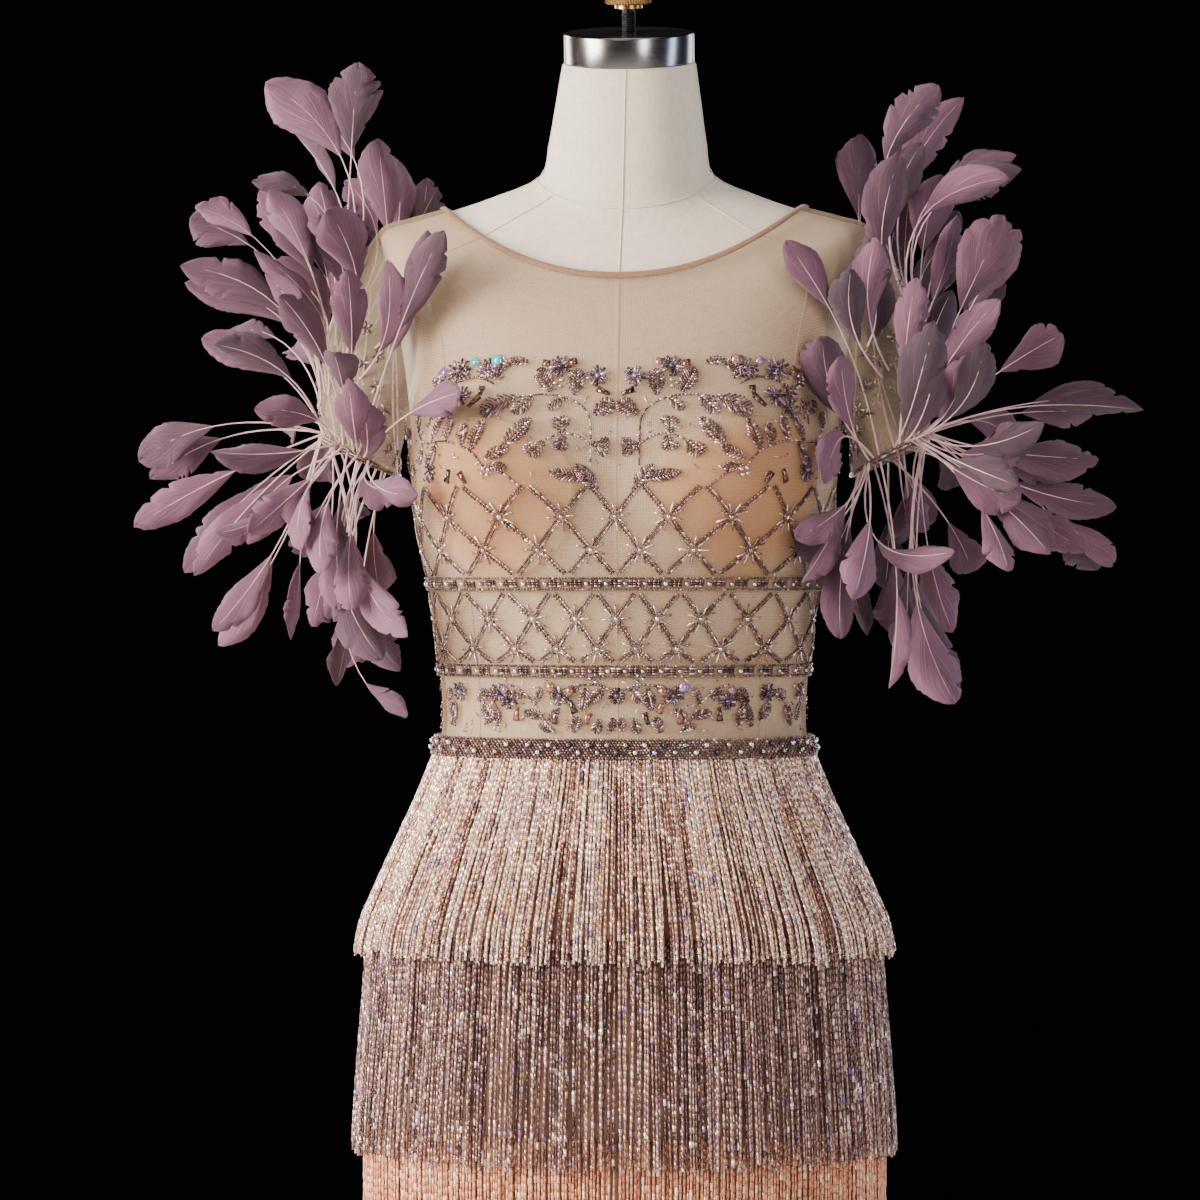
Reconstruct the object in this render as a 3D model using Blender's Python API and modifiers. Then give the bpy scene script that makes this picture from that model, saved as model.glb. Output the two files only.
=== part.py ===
"""A cocktail dress with feathered cap sleeves and beaded fringe tiers, on a limbless dress form.

Metres, +Z up, the front faces -Y, and +X is the wearer's left. The origin is on the floor, under the pole.
"""

import math
import random

import bmesh
import bpy
from mathutils import Matrix, Vector

# Gaps and walls. The turns are what half a seam's gap comes to round the net and round its panels.
SEAM_GAP = 0.0003
SEAM_TURN = SEAM_GAP / 0.30
PANEL_TURN = SEAM_GAP / 2 / 0.15
NET_WALL = 0.0012
SKIRT_WALL = 0.0015
EASE = 0.0032
FORM_COLUMNS = 36

# The form's sections, from its lower edge to the top of its neck. A section rises from side_z at its
# sides to front_z and back_z, and bend says how: 1 is a flat tilted ring, 2 a saddle over the shoulders.
# The columns: side_z, front_z, back_z, half_width, front, back, lean, bend.
FORM_SECTIONS = {
    "lower_edge": (0.760, 0.760, 0.760, 0.1700, 0.1010, 0.1180, 0.0, 2.0),
    "low_hip": (0.800, 0.800, 0.800, 0.1765, 0.1065, 0.1265, 0.0, 2.0),
    "hip": (0.860, 0.860, 0.860, 0.1775, 0.1080, 0.1270, 0.0, 2.0),
    "high_hip": (0.895, 0.895, 0.895, 0.1745, 0.1070, 0.1250, 0.0, 2.0),
    "upper_hip": (0.925, 0.925, 0.925, 0.1660, 0.1040, 0.1175, 0.0, 2.0),
    "belly": (0.967, 0.967, 0.967, 0.1500, 0.0980, 0.1035, 0.0, 2.0),
    "low_waist": (1.000, 1.000, 1.000, 0.1370, 0.0925, 0.0935, 0.0, 2.0),
    "waist_seam": (1.031, 1.031, 1.031, 0.1285, 0.0885, 0.0855, 0.0, 2.0),
    "waist": (1.058, 1.058, 1.058, 0.1270, 0.0870, 0.0830, 0.0, 2.0),
    "rib": (1.100, 1.100, 1.100, 0.1310, 0.0915, 0.0875, 0.0, 2.0),
    "under_bust": (1.145, 1.145, 1.145, 0.1370, 0.0990, 0.0950, 0.0, 2.0),
    "low_bust": (1.190, 1.188, 1.190, 0.1460, 0.1060, 0.1030, 0.0, 2.0),
    "bust": (1.235, 1.230, 1.232, 0.1510, 0.1070, 0.1080, 0.0, 2.0),
    "underarm": (1.268, 1.260, 1.262, 0.1540, 0.1020, 0.1095, 0.0, 2.0),
    "low_armhole": (1.302, 1.284, 1.290, 0.1580, 0.0955, 0.1085, 0.0, 2.0),
    "mid_armhole": (1.338, 1.305, 1.316, 0.1640, 0.0885, 0.1060, 0.0, 2.0),
    "high_armhole": (1.372, 1.324, 1.342, 0.1710, 0.0820, 0.1010, 0.0, 2.0),
    "shoulder_tip": (1.397, 1.340, 1.364, 0.1740, 0.0765, 0.0955, 0.0, 2.0),
    "shoulder": (1.405, 1.351, 1.381, 0.1530, 0.0725, 0.0890, 0.0, 2.0),
    "neckline": (1.412, 1.362, 1.399, 0.1275, 0.0690, 0.0805, 0.0, 2.0),
    "collar": (1.423, 1.386, 1.424, 0.0950, 0.0630, 0.0670, 0.0, 1.8),
    "neck_base": (1.438, 1.413, 1.449, 0.0625, 0.0570, 0.0560, 0.001, 1.3),
    "low_neck": (1.462, 1.447, 1.476, 0.0560, 0.0530, 0.0520, -0.007, 1.0),
    "high_neck": (1.489, 1.4775, 1.5005, 0.0515, 0.0500, 0.0495, -0.0145, 1.0),
    "neck_top": (1.517, 1.5064, 1.5276, 0.0470, 0.0458, 0.0458, -0.0220, 1.0),
}
SECTIONS = list(FORM_SECTIONS.values())
ROW = {name: index for index, name in enumerate(FORM_SECTIONS)}
SQUARENESS = 0.92
FINE_FROM, FINE_TO = ROW["rib"], ROW["mid_armhole"]

# The bust: a soft rise on each side of the front, and the room that a cup needs under the net
BUST_TURN = math.radians(33)
BUST_ROW = ROW["bust"] - 0.2
BUST_RISE = 0.020
BUST_HALF_TURN = math.radians(21)
BUST_ROWS_UP, BUST_ROWS_DOWN = 1.35, 0.85
CUP_TURN = math.radians(36)
CUP_ROW = ROW["bust"] - 0.65
CUP_HALF_TURN = math.radians(25)
CUP_HALF_ROWS = 1.25
CUP_GAP = 0.0020
CUP_WALL = 0.0022
CUP_ROOM = 0.0044
CUP_SPOKES, CUP_RINGS = 14, 4

# Armholes, as an oval on the form's side between two rows
ARM_LOW, ARM_HIGH = ROW["underarm"] - 0.15, ROW["shoulder_tip"]
ARM_HALF_TURN = math.radians(30)
ARM_STEPS = 6

# The centre back zip
ZIP_WIDTH = 0.0050
ZIP_SLIDER = (0.0050, 0.0020, 0.0080)
ZIP_SLIDER_ROWS_DOWN = 0.45
ZIP_EAR, ZIP_EAR_GAP = (0.0009, 0.0040, 0.0030), 0.0030
ZIP_PIN_RADIUS, ZIP_EYE_RADIUS = 0.0005, 0.0015
ZIP_BLADE, ZIP_BLADE_NECK = (0.0046, 0.0010, 0.0210), 0.42

# Bands of beading around the bodice: low edge, high edge, thickness
BANDS = {
    "under_bust_band": (1.1400, 1.1495, 0.0022),
    "midriff_band": (1.0790, 1.0880, 0.0022),
}
WAISTBAND_LOW, WAISTBAND_HIGH, WAISTBAND_THICK = 1.0214, 1.0358, 0.0034
WAISTBAND_OUT = 0.0060
FRONT_COLUMNS, BACK_COLUMNS = 20, 9
WAISTBAND_COLUMNS = 36
BINDING_WIDTH, BINDING_WALL, BINDING_ROWS = 0.006, 0.0010, 0.2

# The sleeve's hem, as an oval beside the bust, higher on its outer side
HEM_CENTRE = Vector((0.1905, 0.002, 1.233))
HEM_HALF_WIDTH, HEM_HALF_DEPTH, HEM_RISE = 0.0270, 0.0520, 0.0120
SLEEVE_ROWS = 5
SLEEVE_PUFF = 0.017

# The underskirt's sections, from the hem to the waist: height, half width, front and back depth
SKIRT_SECTIONS = (
    (0.560, 0.1810, 0.1110, 0.1280),
    (0.740, 0.1850, 0.1145, 0.1335),
    (0.850, 0.1832, 0.1138, 0.1326),
    (0.895, 0.1815, 0.1130, 0.1312),
    (0.925, 0.1720, 0.1095, 0.1230),
    (0.967, 0.1555, 0.1035, 0.1090),
    (1.000, 0.1425, 0.0980, 0.0990),
    (1.0305, 0.1330, 0.0930, 0.0900),
)
SKIRT_HALF_COLUMNS = 16

# Fringe tiers: heights of the tape's top and of the ends, how far out the inner side lies at each, and
# the number of straight spans in a lock
FRINGES = {
    "fringe_upper": (1.0208, 0.8820, 0.0005, 0.0090, 2),
    "fringe_middle": (0.8960, 0.7400, 0.0008, 0.0080, 1),
    "fringe_lower": (0.7580, 0.5640, 0.0005, 0.0020, 1),
}
FRINGE_TAPE, FRINGE_THICK = 0.007, 0.0020
LOCKS = 36
LOCK_SHARE = 0.84
LOCK_JAG = 0.004

# Feather sprays of a sleeve: how many, their headings round the arm (0 is outwards and 90 degrees is
# forwards), the rise above the horizon where they head outwards and where they head forwards or back,
# their reach, and the length and width of the vane at the end of each bare quill
# The columns: row of the tape, count, headings from and to, the two rises, reach, vane, width.
SPRAYS = (
    (2, 9, -140, 140, 64, 77, 0.262, 0.078, 0.038),
    (2, 6, -110, 110, 47, 68, 0.200, 0.074, 0.036),
    (1, 7, -85, 85, 14, 40, 0.160, 0.070, 0.036),
    (1, 5, -60, 60, -12, -16, 0.165, 0.070, 0.036),
    (0, 6, -115, 115, -48, -62, 0.158, 0.066, 0.034),
    (0, 5, -125, 125, -74, -84, 0.185, 0.070, 0.034),
)
SPRAY_SEED = 11
SPRAY_REACH_JITTER, SPRAY_RISE_JITTER, SPRAY_HEADING_JITTER = 0.12, 7.0, 6.0
QUILL = 0.0015
# A vane's sections: place along it, share of its width, share of its thickness
VANE_SHAPE = ((0.0, 0.0, 0.7), (0.36, 1.0, 1.0), (0.74, 0.84, 0.8), (1.0, 0.15, 0.4))
VANE_THICK = 0.0022
TAPE_COLUMNS, TAPE_ROWS = 24, 3
TAPE_SHARE, TAPE_THICK = 0.097, 0.0014
QUILL_INSET = 0.0004

# The neck cap with its screw and knob, square to the neck's forward tilt
NECK_TILT = math.radians(13)
NECK_SHIFT = 0.005
NECK_TOP = Vector((NECK_SHIFT, -0.0220, 1.517))
CAP_RADIUS, CAP_HEIGHT = 0.0464, 0.0213
SCREW_RADIUS, SCREW_LENGTH, SCREW_SEAT = 0.0050, 0.0170, 0.0120
KNOB_RADIUS, KNOB_HEIGHT = 0.0168, 0.0080
KNOB_COLLAR_RADIUS, KNOB_COLLAR = 0.0100, 0.0030

# The stand
BASE_RADIUS, BASE_HEIGHT, BASE_SLOPE = 0.200, 0.014, 0.012
HUB_RADIUS, HUB_FOOT_RADIUS, HUB_TOP = 0.026, 0.044, 0.085
POLE_RADIUS = 0.016
FLANGE_RADIUS, FLANGE_HEIGHT = 0.050, 0.008

COLOURS = {
    "form_cloth": ((0.80, 0.78, 0.72), 0.9, 0.0),
    "steel": ((0.45, 0.45, 0.46), 0.25, 1.0),
    "brass": ((0.72, 0.48, 0.25), 0.35, 1.0),
    "iron": ((0.05, 0.05, 0.055), 0.5, 0.6),
    "net": ((0.76, 0.64, 0.52), 0.8, 0.0),
    "cup": ((0.84, 0.60, 0.42), 0.85, 0.0),
    "beading": ((0.48, 0.36, 0.34), 0.35, 0.0),
    "feather": ((0.62, 0.45, 0.52), 0.7, 0.0),
    "skirt": ((0.72, 0.56, 0.46), 0.8, 0.0),
    "fringe_silver": ((0.82, 0.68, 0.62), 0.3, 0.0),
    "fringe_mauve": ((0.48, 0.37, 0.36), 0.3, 0.0),
    "fringe_peach": ((0.80, 0.52, 0.38), 0.35, 0.0),
    "zip": ((0.70, 0.58, 0.48), 0.6, 0.0),
}


def catmull(a, b, c, d, share):
    """A smooth value between b and c, where a and d lie on either side of them."""
    return 0.5 * (
        2 * b + (c - a) * share + (2 * a - 5 * b + 4 * c - d) * share**2 + (3 * b - a - 3 * c + d) * share**3
    )


def section_at(table, row):
    """The sizes of a table of sections at a row, whole or between two."""
    last = len(table) - 1
    lower = min(max(int(row), 0), last - 1)
    near = [table[min(max(lower + step, 0), last)] for step in (-1, 0, 1, 2)]
    return [catmull(*values, row - lower) for values in zip(*near)]


def row_at_height(table, height):
    """The row whose first column, a height, is this one."""
    low, high = 0.0, len(table) - 1.0
    for _ in range(40):
        middle = (low + high) / 2
        if section_at(table, middle)[0] < height:
            low = middle
        else:
            high = middle
    return low


def oval(turn, half_width, front, back):
    """A point of a rounded section: turn is 0 at the front and a right angle at +X."""
    side, ahead = math.sin(turn), math.cos(turn)
    depth = front if ahead > 0 else back
    x = half_width * math.copysign(abs(side) ** SQUARENESS, side)
    y = -depth * math.copysign(abs(ahead) ** SQUARENESS, ahead)
    return x, y


def bust_rise(turn, row):
    """How far the bust lifts the form's front here."""
    across = (abs(turn) - BUST_TURN) / BUST_HALF_TURN
    up = row - BUST_ROW
    up /= BUST_ROWS_UP if up > 0 else BUST_ROWS_DOWN
    return BUST_RISE * math.exp(-(across**2) - up**2)


def form_point(turn, row):
    """A point on the dress form. Turn runs from -pi to pi, and row is a place in the table of sections."""
    side_z, front_z, back_z, half_width, front, back, lean, bend = section_at(SECTIONS, row)
    ahead = math.cos(turn)
    end_z = front_z if ahead > 0 else back_z
    x, y = oval(turn, half_width, front, back)
    z = side_z + (end_z - side_z) * abs(ahead) ** bend
    rise = bust_rise(turn, row)
    shift = NECK_SHIFT * max(0.0, (row - ROW["neckline"]) / (ROW["neck_top"] - ROW["neckline"]))
    return Vector((x + shift + rise * math.sin(turn), y + lean - rise * math.cos(turn), z))


def outwards(point_at, turn, row):
    """The unit direction out of a surface given by turn and row."""
    step = 1e-3
    around = point_at(turn + step, row) - point_at(turn - step, row)
    up = point_at(turn, row + step) - point_at(turn, row - step)
    return around.cross(up).normalized()


def over_form(turn, row, out):
    """A point this far outside the form."""
    return form_point(turn, row) + outwards(form_point, turn, row) * out


def cup_room(turn, row):
    """The room that the net leaves over a cup, largest at its middle."""
    across = (abs(turn) - CUP_TURN) / CUP_HALF_TURN
    up = (row - CUP_ROW) / CUP_HALF_ROWS
    return CUP_ROOM * math.exp(-((across**2 + up**2) ** 2) / 3)


def net_point(turn, row, out=0.0):
    """A point of the bodice's net, on its inner side or this far out of it."""
    return over_form(turn, row, EASE + cup_room(turn, row) + out)


def skirt_point(turn, height, out=0.0):
    """A point of the underskirt's outer side, or this far out of it, level with height."""
    _, half_width, front, back = section_at(SKIRT_SECTIONS, row_at_height(SKIRT_SECTIONS, height))
    x, y = oval(turn, half_width + out, front + out, back + out)
    return Vector((x, y, height))


def material(name):
    """The plain surface finish of one of the named colours."""
    made = bpy.data.materials.get(name)
    if made:
        return made
    colour, roughness, metallic = COLOURS[name]
    made = bpy.data.materials.new(name)
    made.use_nodes = True
    made.diffuse_color = (*colour, 1.0)
    shader = made.node_tree.nodes["Principled BSDF"]
    shader.inputs["Base Color"].default_value = (*colour, 1.0)
    shader.inputs["Roughness"].default_value = roughness
    shader.inputs["Metallic"].default_value = metallic
    return made


def add_object(name, mesh, finish, collection):
    """An object of the model, with its finish, smooth where it is round."""
    mesh.materials.append(material(finish))
    mesh.shade_smooth()
    mesh.set_sharp_from_angle(angle=math.radians(40))
    made = bpy.data.objects.new(name, mesh)
    collection.objects.link(made)
    return made


def mesh_from(name, bm):
    """A mesh from bm with its faces turned outwards."""
    bmesh.ops.recalc_face_normals(bm, faces=bm.faces[:])
    mesh = bpy.data.meshes.new(name)
    bm.to_mesh(mesh)
    bm.free()
    return mesh


def grid(bm, point_at, columns, rows, closed=False):
    """Faces between the points that point_at gives for shares across and up. Closed joins its two sides."""
    across = columns if closed else columns + 1
    levels = [
        [bm.verts.new(point_at(i / columns, j / rows)) for i in range(across)] for j in range(rows + 1)
    ]
    faces = []
    for low, high in zip(levels, levels[1:]):
        for i in range(columns):
            k = (i + 1) % across
            faces.append(bm.faces.new((low[i], low[k], high[k], high[i])))
    return levels, faces


def add_cloth(name, point_at, columns, rows, wall, finish, collection, closed=False):
    """A cloth piece: a grid on its inner side, thickened outwards to its wall."""
    bm = bmesh.new()
    grid(bm, point_at, columns, rows, closed)
    mesh = bpy.data.meshes.new(name)
    bm.to_mesh(mesh)
    bm.free()
    made = add_object(name, mesh, finish, collection)
    shell = made.modifiers.new("Wall", "SOLIDIFY")
    shell.thickness = wall
    shell.offset = 1.0
    return made


def add_turned(name, profile, matrix, finish, collection, steps=24):
    """A turned piece: a profile of radius and height, from its top down, spun round its axis."""
    bm = bmesh.new()
    corners = [bm.verts.new((radius, 0.0, height)) for radius, height in profile]
    for upper, lower in zip(corners, corners[1:]):
        bm.edges.new((upper, lower))
    mesh = bpy.data.meshes.new(name)
    bm.to_mesh(mesh)
    bm.free()
    made = add_object(name, mesh, finish, collection)
    made.matrix_world = matrix
    spin = made.modifiers.new("Spin", "SCREW")
    spin.steps = spin.render_steps = steps
    spin.use_merge_vertices = True
    spin.merge_threshold = 1e-5
    return made


def add_form(collection):
    """The covered body of the form with its neck, closed at both ends."""
    bm = bmesh.new()
    rows = []
    for row in range(len(SECTIONS)):
        rows.append(row)
        if FINE_FROM <= row < FINE_TO:
            rows.append(row + 0.5)

    def point_at(across, up):
        return form_point(2 * math.pi * across, rows[round(up * (len(rows) - 1))])

    levels, _ = grid(bm, point_at, FORM_COLUMNS, len(rows) - 1, closed=True)
    bm.faces.new(levels[0][::-1])
    bm.faces.new(levels[-1])
    return add_object("form_body", mesh_from("form_body", bm), "form_cloth", collection)


def add_neck_fittings(collection):
    """The steel cap on the neck, the screw that stands in it and the knob that turns the screw."""
    seat = Matrix.Translation(NECK_TOP) @ Matrix.Rotation(NECK_TILT, 4, "X")
    low, high = SEAM_GAP, SEAM_GAP + CAP_HEIGHT
    bore = SCREW_RADIUS + 2 * SEAM_GAP
    lip, floor_z = 0.0015, high - SCREW_SEAT
    cap = ((0, floor_z), (bore, floor_z), (bore, high), (CAP_RADIUS - lip, high), (CAP_RADIUS, high - lip),
           (CAP_RADIUS, low), (0, low))
    add_turned("neck_cap", cap, seat, "steel", collection)
    foot = floor_z + SEAM_GAP
    head = high + SCREW_LENGTH
    screw = ((0, head), (SCREW_RADIUS, head), (SCREW_RADIUS, foot), (0, foot))
    add_turned("neck_screw", screw, seat, "iron", collection, steps=16)
    under = head + SEAM_GAP
    rim = under + KNOB_COLLAR
    top = rim + KNOB_HEIGHT
    edge = 0.0012
    knob = ((0, top), (KNOB_RADIUS - edge, top), (KNOB_RADIUS, top - edge), (KNOB_RADIUS, rim + edge),
            (KNOB_RADIUS - edge, rim), (KNOB_COLLAR_RADIUS, rim), (KNOB_COLLAR_RADIUS, under), (0, under))
    add_turned("neck_knob", knob, seat, "brass", collection)


def add_stand(collection):
    """The round base, the hub on it, and the pole that carries the form."""
    base = ((0, BASE_HEIGHT), (BASE_RADIUS - BASE_SLOPE, BASE_HEIGHT), (BASE_RADIUS, BASE_HEIGHT / 2),
            (BASE_RADIUS, 0.0), (0, 0.0))
    add_turned("stand_base", base, Matrix.Identity(4), "iron", collection, steps=32)
    seat = BASE_HEIGHT + SEAM_GAP
    hub = ((0, HUB_TOP), (HUB_RADIUS, HUB_TOP), (HUB_FOOT_RADIUS, seat), (0, seat))
    add_turned("stand_hub", hub, Matrix.Identity(4), "iron", collection)
    top = SECTIONS[0][0] - SEAM_GAP
    foot = HUB_TOP + SEAM_GAP
    pole = ((0, top), (FLANGE_RADIUS, top), (FLANGE_RADIUS, top - FLANGE_HEIGHT),
            (POLE_RADIUS, top - FLANGE_HEIGHT - 0.004), (POLE_RADIUS, foot), (0, foot))
    add_turned("stand_pole", pole, Matrix.Identity(4), "iron", collection, steps=24)


def armhole_turn(row):
    """How far the armhole reaches round from the side at this row."""
    middle, half = (ARM_LOW + ARM_HIGH) / 2, (ARM_HIGH - ARM_LOW) / 2
    place = (row - middle) / half
    return ARM_HALF_TURN * math.sqrt(max(0.0, 1 - place**2))


def bodice_rows():
    """The rows of the bodice's panels, from the waist to the neckline. Those beside the armhole divide
    its oval evenly, so that the sleeve has the same points."""
    low, top = ROW["waist_seam"], ROW["neckline"]
    body = [low, low + 1, low + 2, low + 3, low + 3.5, low + 4, low + 4.5, low + 5, low + 5.5]
    middle, half = (ARM_LOW + ARM_HIGH) / 2, (ARM_HIGH - ARM_LOW) / 2
    arm = [middle - half * math.cos(math.pi * step / ARM_STEPS) for step in range(ARM_STEPS + 1)]
    return [row for row in body if row < ARM_LOW - 0.1] + arm + [(ARM_HIGH + top) / 2, top]


def turn_at_back(row, off_centre):
    """The turn near the centre back where the section at this row is off_centre from the middle."""
    half_width = section_at(SECTIONS, row)[3]
    return math.pi - math.asin((off_centre / half_width) ** (1 / SQUARENESS))


def panel_turns(row):
    """The turns of the net's columns at a row clear of the armholes, from one side of the zip round."""
    side, centre = math.pi / 2, turn_at_back(row, ZIP_WIDTH / 2 + SEAM_GAP)
    first = side + SEAM_TURN
    back = [first + (centre - first) * k / BACK_COLUMNS for k in range(BACK_COLUMNS + 1)]
    front = [(side - SEAM_TURN) * (2 * k / FRONT_COLUMNS - 1) for k in range(FRONT_COLUMNS + 1)]
    return [-turn for turn in reversed(back)] + front + back


def panel_point(turn, row, out):
    """A point this far out of the net's inner side, along the straight runs between the net's rows."""
    rows = bodice_rows()
    above = next((i for i in range(1, len(rows)) if rows[i] >= row), len(rows) - 1)
    low, high = rows[above - 1], rows[above]
    return net_point(turn, low, out).lerp(net_point(turn, high, out), (row - low) / (high - low))


def add_bodice(collection):
    """The sheer net: one front and two backs, open at the neck, the armholes and the zip."""
    rows = bodice_rows()

    def front(across, up):
        row = rows[round(up * (len(rows) - 1))]
        limit = math.pi / 2 - armhole_turn(row) - PANEL_TURN
        return net_point((2 * across - 1) * limit, row)

    def back(side):
        def point_at(across, up):
            row = rows[round(up * (len(rows) - 1))]
            seam = math.pi / 2 + armhole_turn(row) + PANEL_TURN
            centre = turn_at_back(row, ZIP_WIDTH / 2 + SEAM_GAP)
            share = across if side > 0 else 1 - across
            return net_point(side * (seam + (centre - seam) * share), row)

        return point_at

    steps = len(rows) - 1
    add_cloth("bodice_front", front, FRONT_COLUMNS, steps, NET_WALL, "net", collection)
    add_cloth("bodice_back_left", back(1), BACK_COLUMNS, steps, NET_WALL, "net", collection)
    add_cloth("bodice_back_right", back(-1), BACK_COLUMNS, steps, NET_WALL, "net", collection)


def add_binding(collection):
    """The folded binding round the neckline, open at the zip."""
    row = ROW["neckline"]
    turns = panel_turns(row)
    last = len(turns) - 1

    def point_at(across, up):
        turn = turns[round(across * last)]
        edge = panel_point(turn, row, NET_WALL + 2 * SEAM_GAP)
        below = panel_point(turn, row - BINDING_ROWS, NET_WALL + 2 * SEAM_GAP)
        return edge + (below - edge).normalized() * BINDING_WIDTH * (1 - up)

    add_cloth("neck_binding", point_at, last, 1, BINDING_WALL, "net", collection)


def add_bands(collection):
    """The bands of beading on the bodice, with their ends at the zip, and the waistband over its seam."""
    for name, (low, high, thick) in BANDS.items():
        turns = panel_turns(row_at_height(SECTIONS, low))
        last = len(turns) - 1

        def point_at(across, up, low=low, high=high, turns=turns, last=last):
            row = row_at_height(SECTIONS, low + (high - low) * up)
            return panel_point(turns[round(across * last)], row, NET_WALL + 2 * SEAM_GAP)

        add_cloth(name, point_at, last, 1, thick, "beading", collection)

    def waistband(across, up):
        row = row_at_height(SECTIONS, WAISTBAND_LOW + (WAISTBAND_HIGH - WAISTBAND_LOW) * up)
        return over_form(math.pi * (2 * across - 1), row, WAISTBAND_OUT)

    add_cloth(
        "waistband", waistband, WAISTBAND_COLUMNS, 1, WAISTBAND_THICK, "beading", collection, closed=True
    )


def add_cups(collection):
    """The two moulded bust cups, which lie on the form under the net."""
    for name, side in (("cup_left", 1), ("cup_right", -1)):
        bm = bmesh.new()
        layers = []
        for layer in (0, 1):
            rings = []
            for ring in range(1, CUP_RINGS + 1):
                share = ring / CUP_RINGS
                wall = CUP_WALL * (1 - 0.6 * share**3)
                points = []
                for spoke in range(CUP_SPOKES):
                    angle = 2 * math.pi * spoke / CUP_SPOKES
                    turn = CUP_TURN + CUP_HALF_TURN * share * math.cos(angle)
                    row = CUP_ROW + CUP_HALF_ROWS * share * math.sin(angle)
                    points.append(bm.verts.new(over_form(side * turn, row, CUP_GAP + layer * wall)))
                rings.append(points)
            middle = bm.verts.new(over_form(side * CUP_TURN, CUP_ROW, CUP_GAP + layer * CUP_WALL))
            layers.append((middle, rings))
        for middle, rings in layers:
            for i in range(CUP_SPOKES):
                k = (i + 1) % CUP_SPOKES
                bm.faces.new((middle, rings[0][i], rings[0][k]))
                for inner, outer in zip(rings, rings[1:]):
                    bm.faces.new((inner[i], outer[i], outer[k], inner[k]))
        under, over = layers[0][1][-1], layers[1][1][-1]
        for i in range(CUP_SPOKES):
            k = (i + 1) % CUP_SPOKES
            bm.faces.new((under[i], under[k], over[k], over[i]))
        add_object(name, mesh_from(name, bm), "cup", collection)


def zip_frame(row):
    """A frame on the centre back: X to +X, Z up the back and Y out of it, on the zip's outer side."""
    centre = net_point(math.pi, row, NET_WALL)
    up = (net_point(math.pi, row + 0.05, NET_WALL) - net_point(math.pi, row - 0.05, NET_WALL)).normalized()
    side = Vector((-1.0, 0.0, 0.0))
    out = side.cross(up).normalized()
    if out.y < 0:
        out = -out
    frame = Matrix((Vector((1, 0, 0)), out, up)).transposed().to_4x4()
    frame.translation = centre
    return frame


def add_block(bm, size, centre):
    """A box of this size about this centre."""
    made = bmesh.ops.create_cube(bm, size=1.0)
    bmesh.ops.scale(bm, vec=Vector(size), verts=made["verts"])
    bmesh.ops.translate(bm, vec=Vector(centre), verts=made["verts"])
    return made["verts"]


def add_pin(bm, radius, length, centre, segments=8):
    """A round pin along X about this centre."""
    made = bmesh.ops.create_cone(
        bm, cap_ends=True, segments=segments, radius1=radius, radius2=radius, depth=length
    )
    bmesh.ops.rotate(bm, cent=(0, 0, 0), matrix=Matrix.Rotation(math.pi / 2, 3, "Y"), verts=made["verts"])
    bmesh.ops.translate(bm, vec=Vector(centre), verts=made["verts"])


def object_of(name, build, matrix, finish, collection):
    """An object from what build adds to an empty bmesh, placed by matrix."""
    bm = bmesh.new()
    build(bm)
    made = add_object(name, mesh_from(name, bm), finish, collection)
    made.matrix_world = matrix
    return made


def combine(made, other, operation):
    """A Boolean of two objects, the second of which becomes a hidden helper."""
    change = made.modifiers.new(operation.title(), "BOOLEAN")
    change.operation = operation
    change.object = other
    other.hide_render = True
    other.display_type = "WIRE"


def add_zip(collection, helpers):
    """The centre back zip: its strip, the slider near its top, and the tab that hangs from the slider."""
    rows = [row for row in bodice_rows() if row <= ROW["neckline"]]
    lowest = row_at_height(SECTIONS, WAISTBAND_HIGH + SEAM_GAP)
    rows = [lowest] + [row for row in rows if row > lowest + 0.1]

    def strip(across, up):
        row = rows[round(up * (len(rows) - 1))]
        centre = net_point(math.pi, row)
        return centre + Vector((ZIP_WIDTH * (0.5 - across), 0, 0))

    add_cloth("zip_strip", strip, 1, len(rows) - 1, NET_WALL, "zip", collection)

    frame = zip_frame(ROW["neckline"] - ZIP_SLIDER_ROWS_DOWN)
    width, thick, length = ZIP_SLIDER
    top = SEAM_GAP + thick
    pin_out = top + ZIP_EYE_RADIUS + SEAM_GAP
    pin_length = ZIP_EAR_GAP + ZIP_EAR[0]

    def slider(bm):
        add_block(bm, ZIP_SLIDER, (0, SEAM_GAP + thick / 2, 0))

    def ears(bm):
        for side in (1, -1):
            place = side * (ZIP_EAR_GAP + ZIP_EAR[0]) / 2
            add_block(bm, ZIP_EAR, (place, top - 0.001 + ZIP_EAR[1] / 2, 0))

    def pin(bm):
        add_pin(bm, ZIP_PIN_RADIUS, pin_length, (0, pin_out, 0))

    made = object_of("zip_slider", slider, frame, "steel", collection)
    combine(made, object_of("zip_ears", ears, frame, "steel", helpers), "UNION")
    combine(made, object_of("zip_pin", pin, frame, "steel", helpers), "UNION")

    hinge = frame @ Matrix.Translation((0, pin_out, 0))
    wide, _, tall = ZIP_BLADE
    shoulder = ZIP_PIN_RADIUS + 2 * SEAM_GAP

    def eye(bm):
        add_pin(bm, ZIP_EYE_RADIUS, ZIP_EAR_GAP - 0.001, (0, 0, 0), 16)

    def blade(bm):
        for vert in add_block(bm, ZIP_BLADE, (0, 0, -shoulder - tall / 2)):
            if vert.co.z > -tall / 2:
                vert.co.x *= ZIP_BLADE_NECK

    def hole(bm):
        add_pin(bm, ZIP_PIN_RADIUS + SEAM_GAP, 2 * wide, (0, 0, 0), 12)

    made = object_of("zip_tab", eye, hinge, "steel", collection)
    combine(made, object_of("zip_blade", blade, hinge, "steel", helpers), "UNION")
    combine(made, object_of("zip_hole", hole, hinge, "steel", helpers), "DIFFERENCE")


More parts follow.
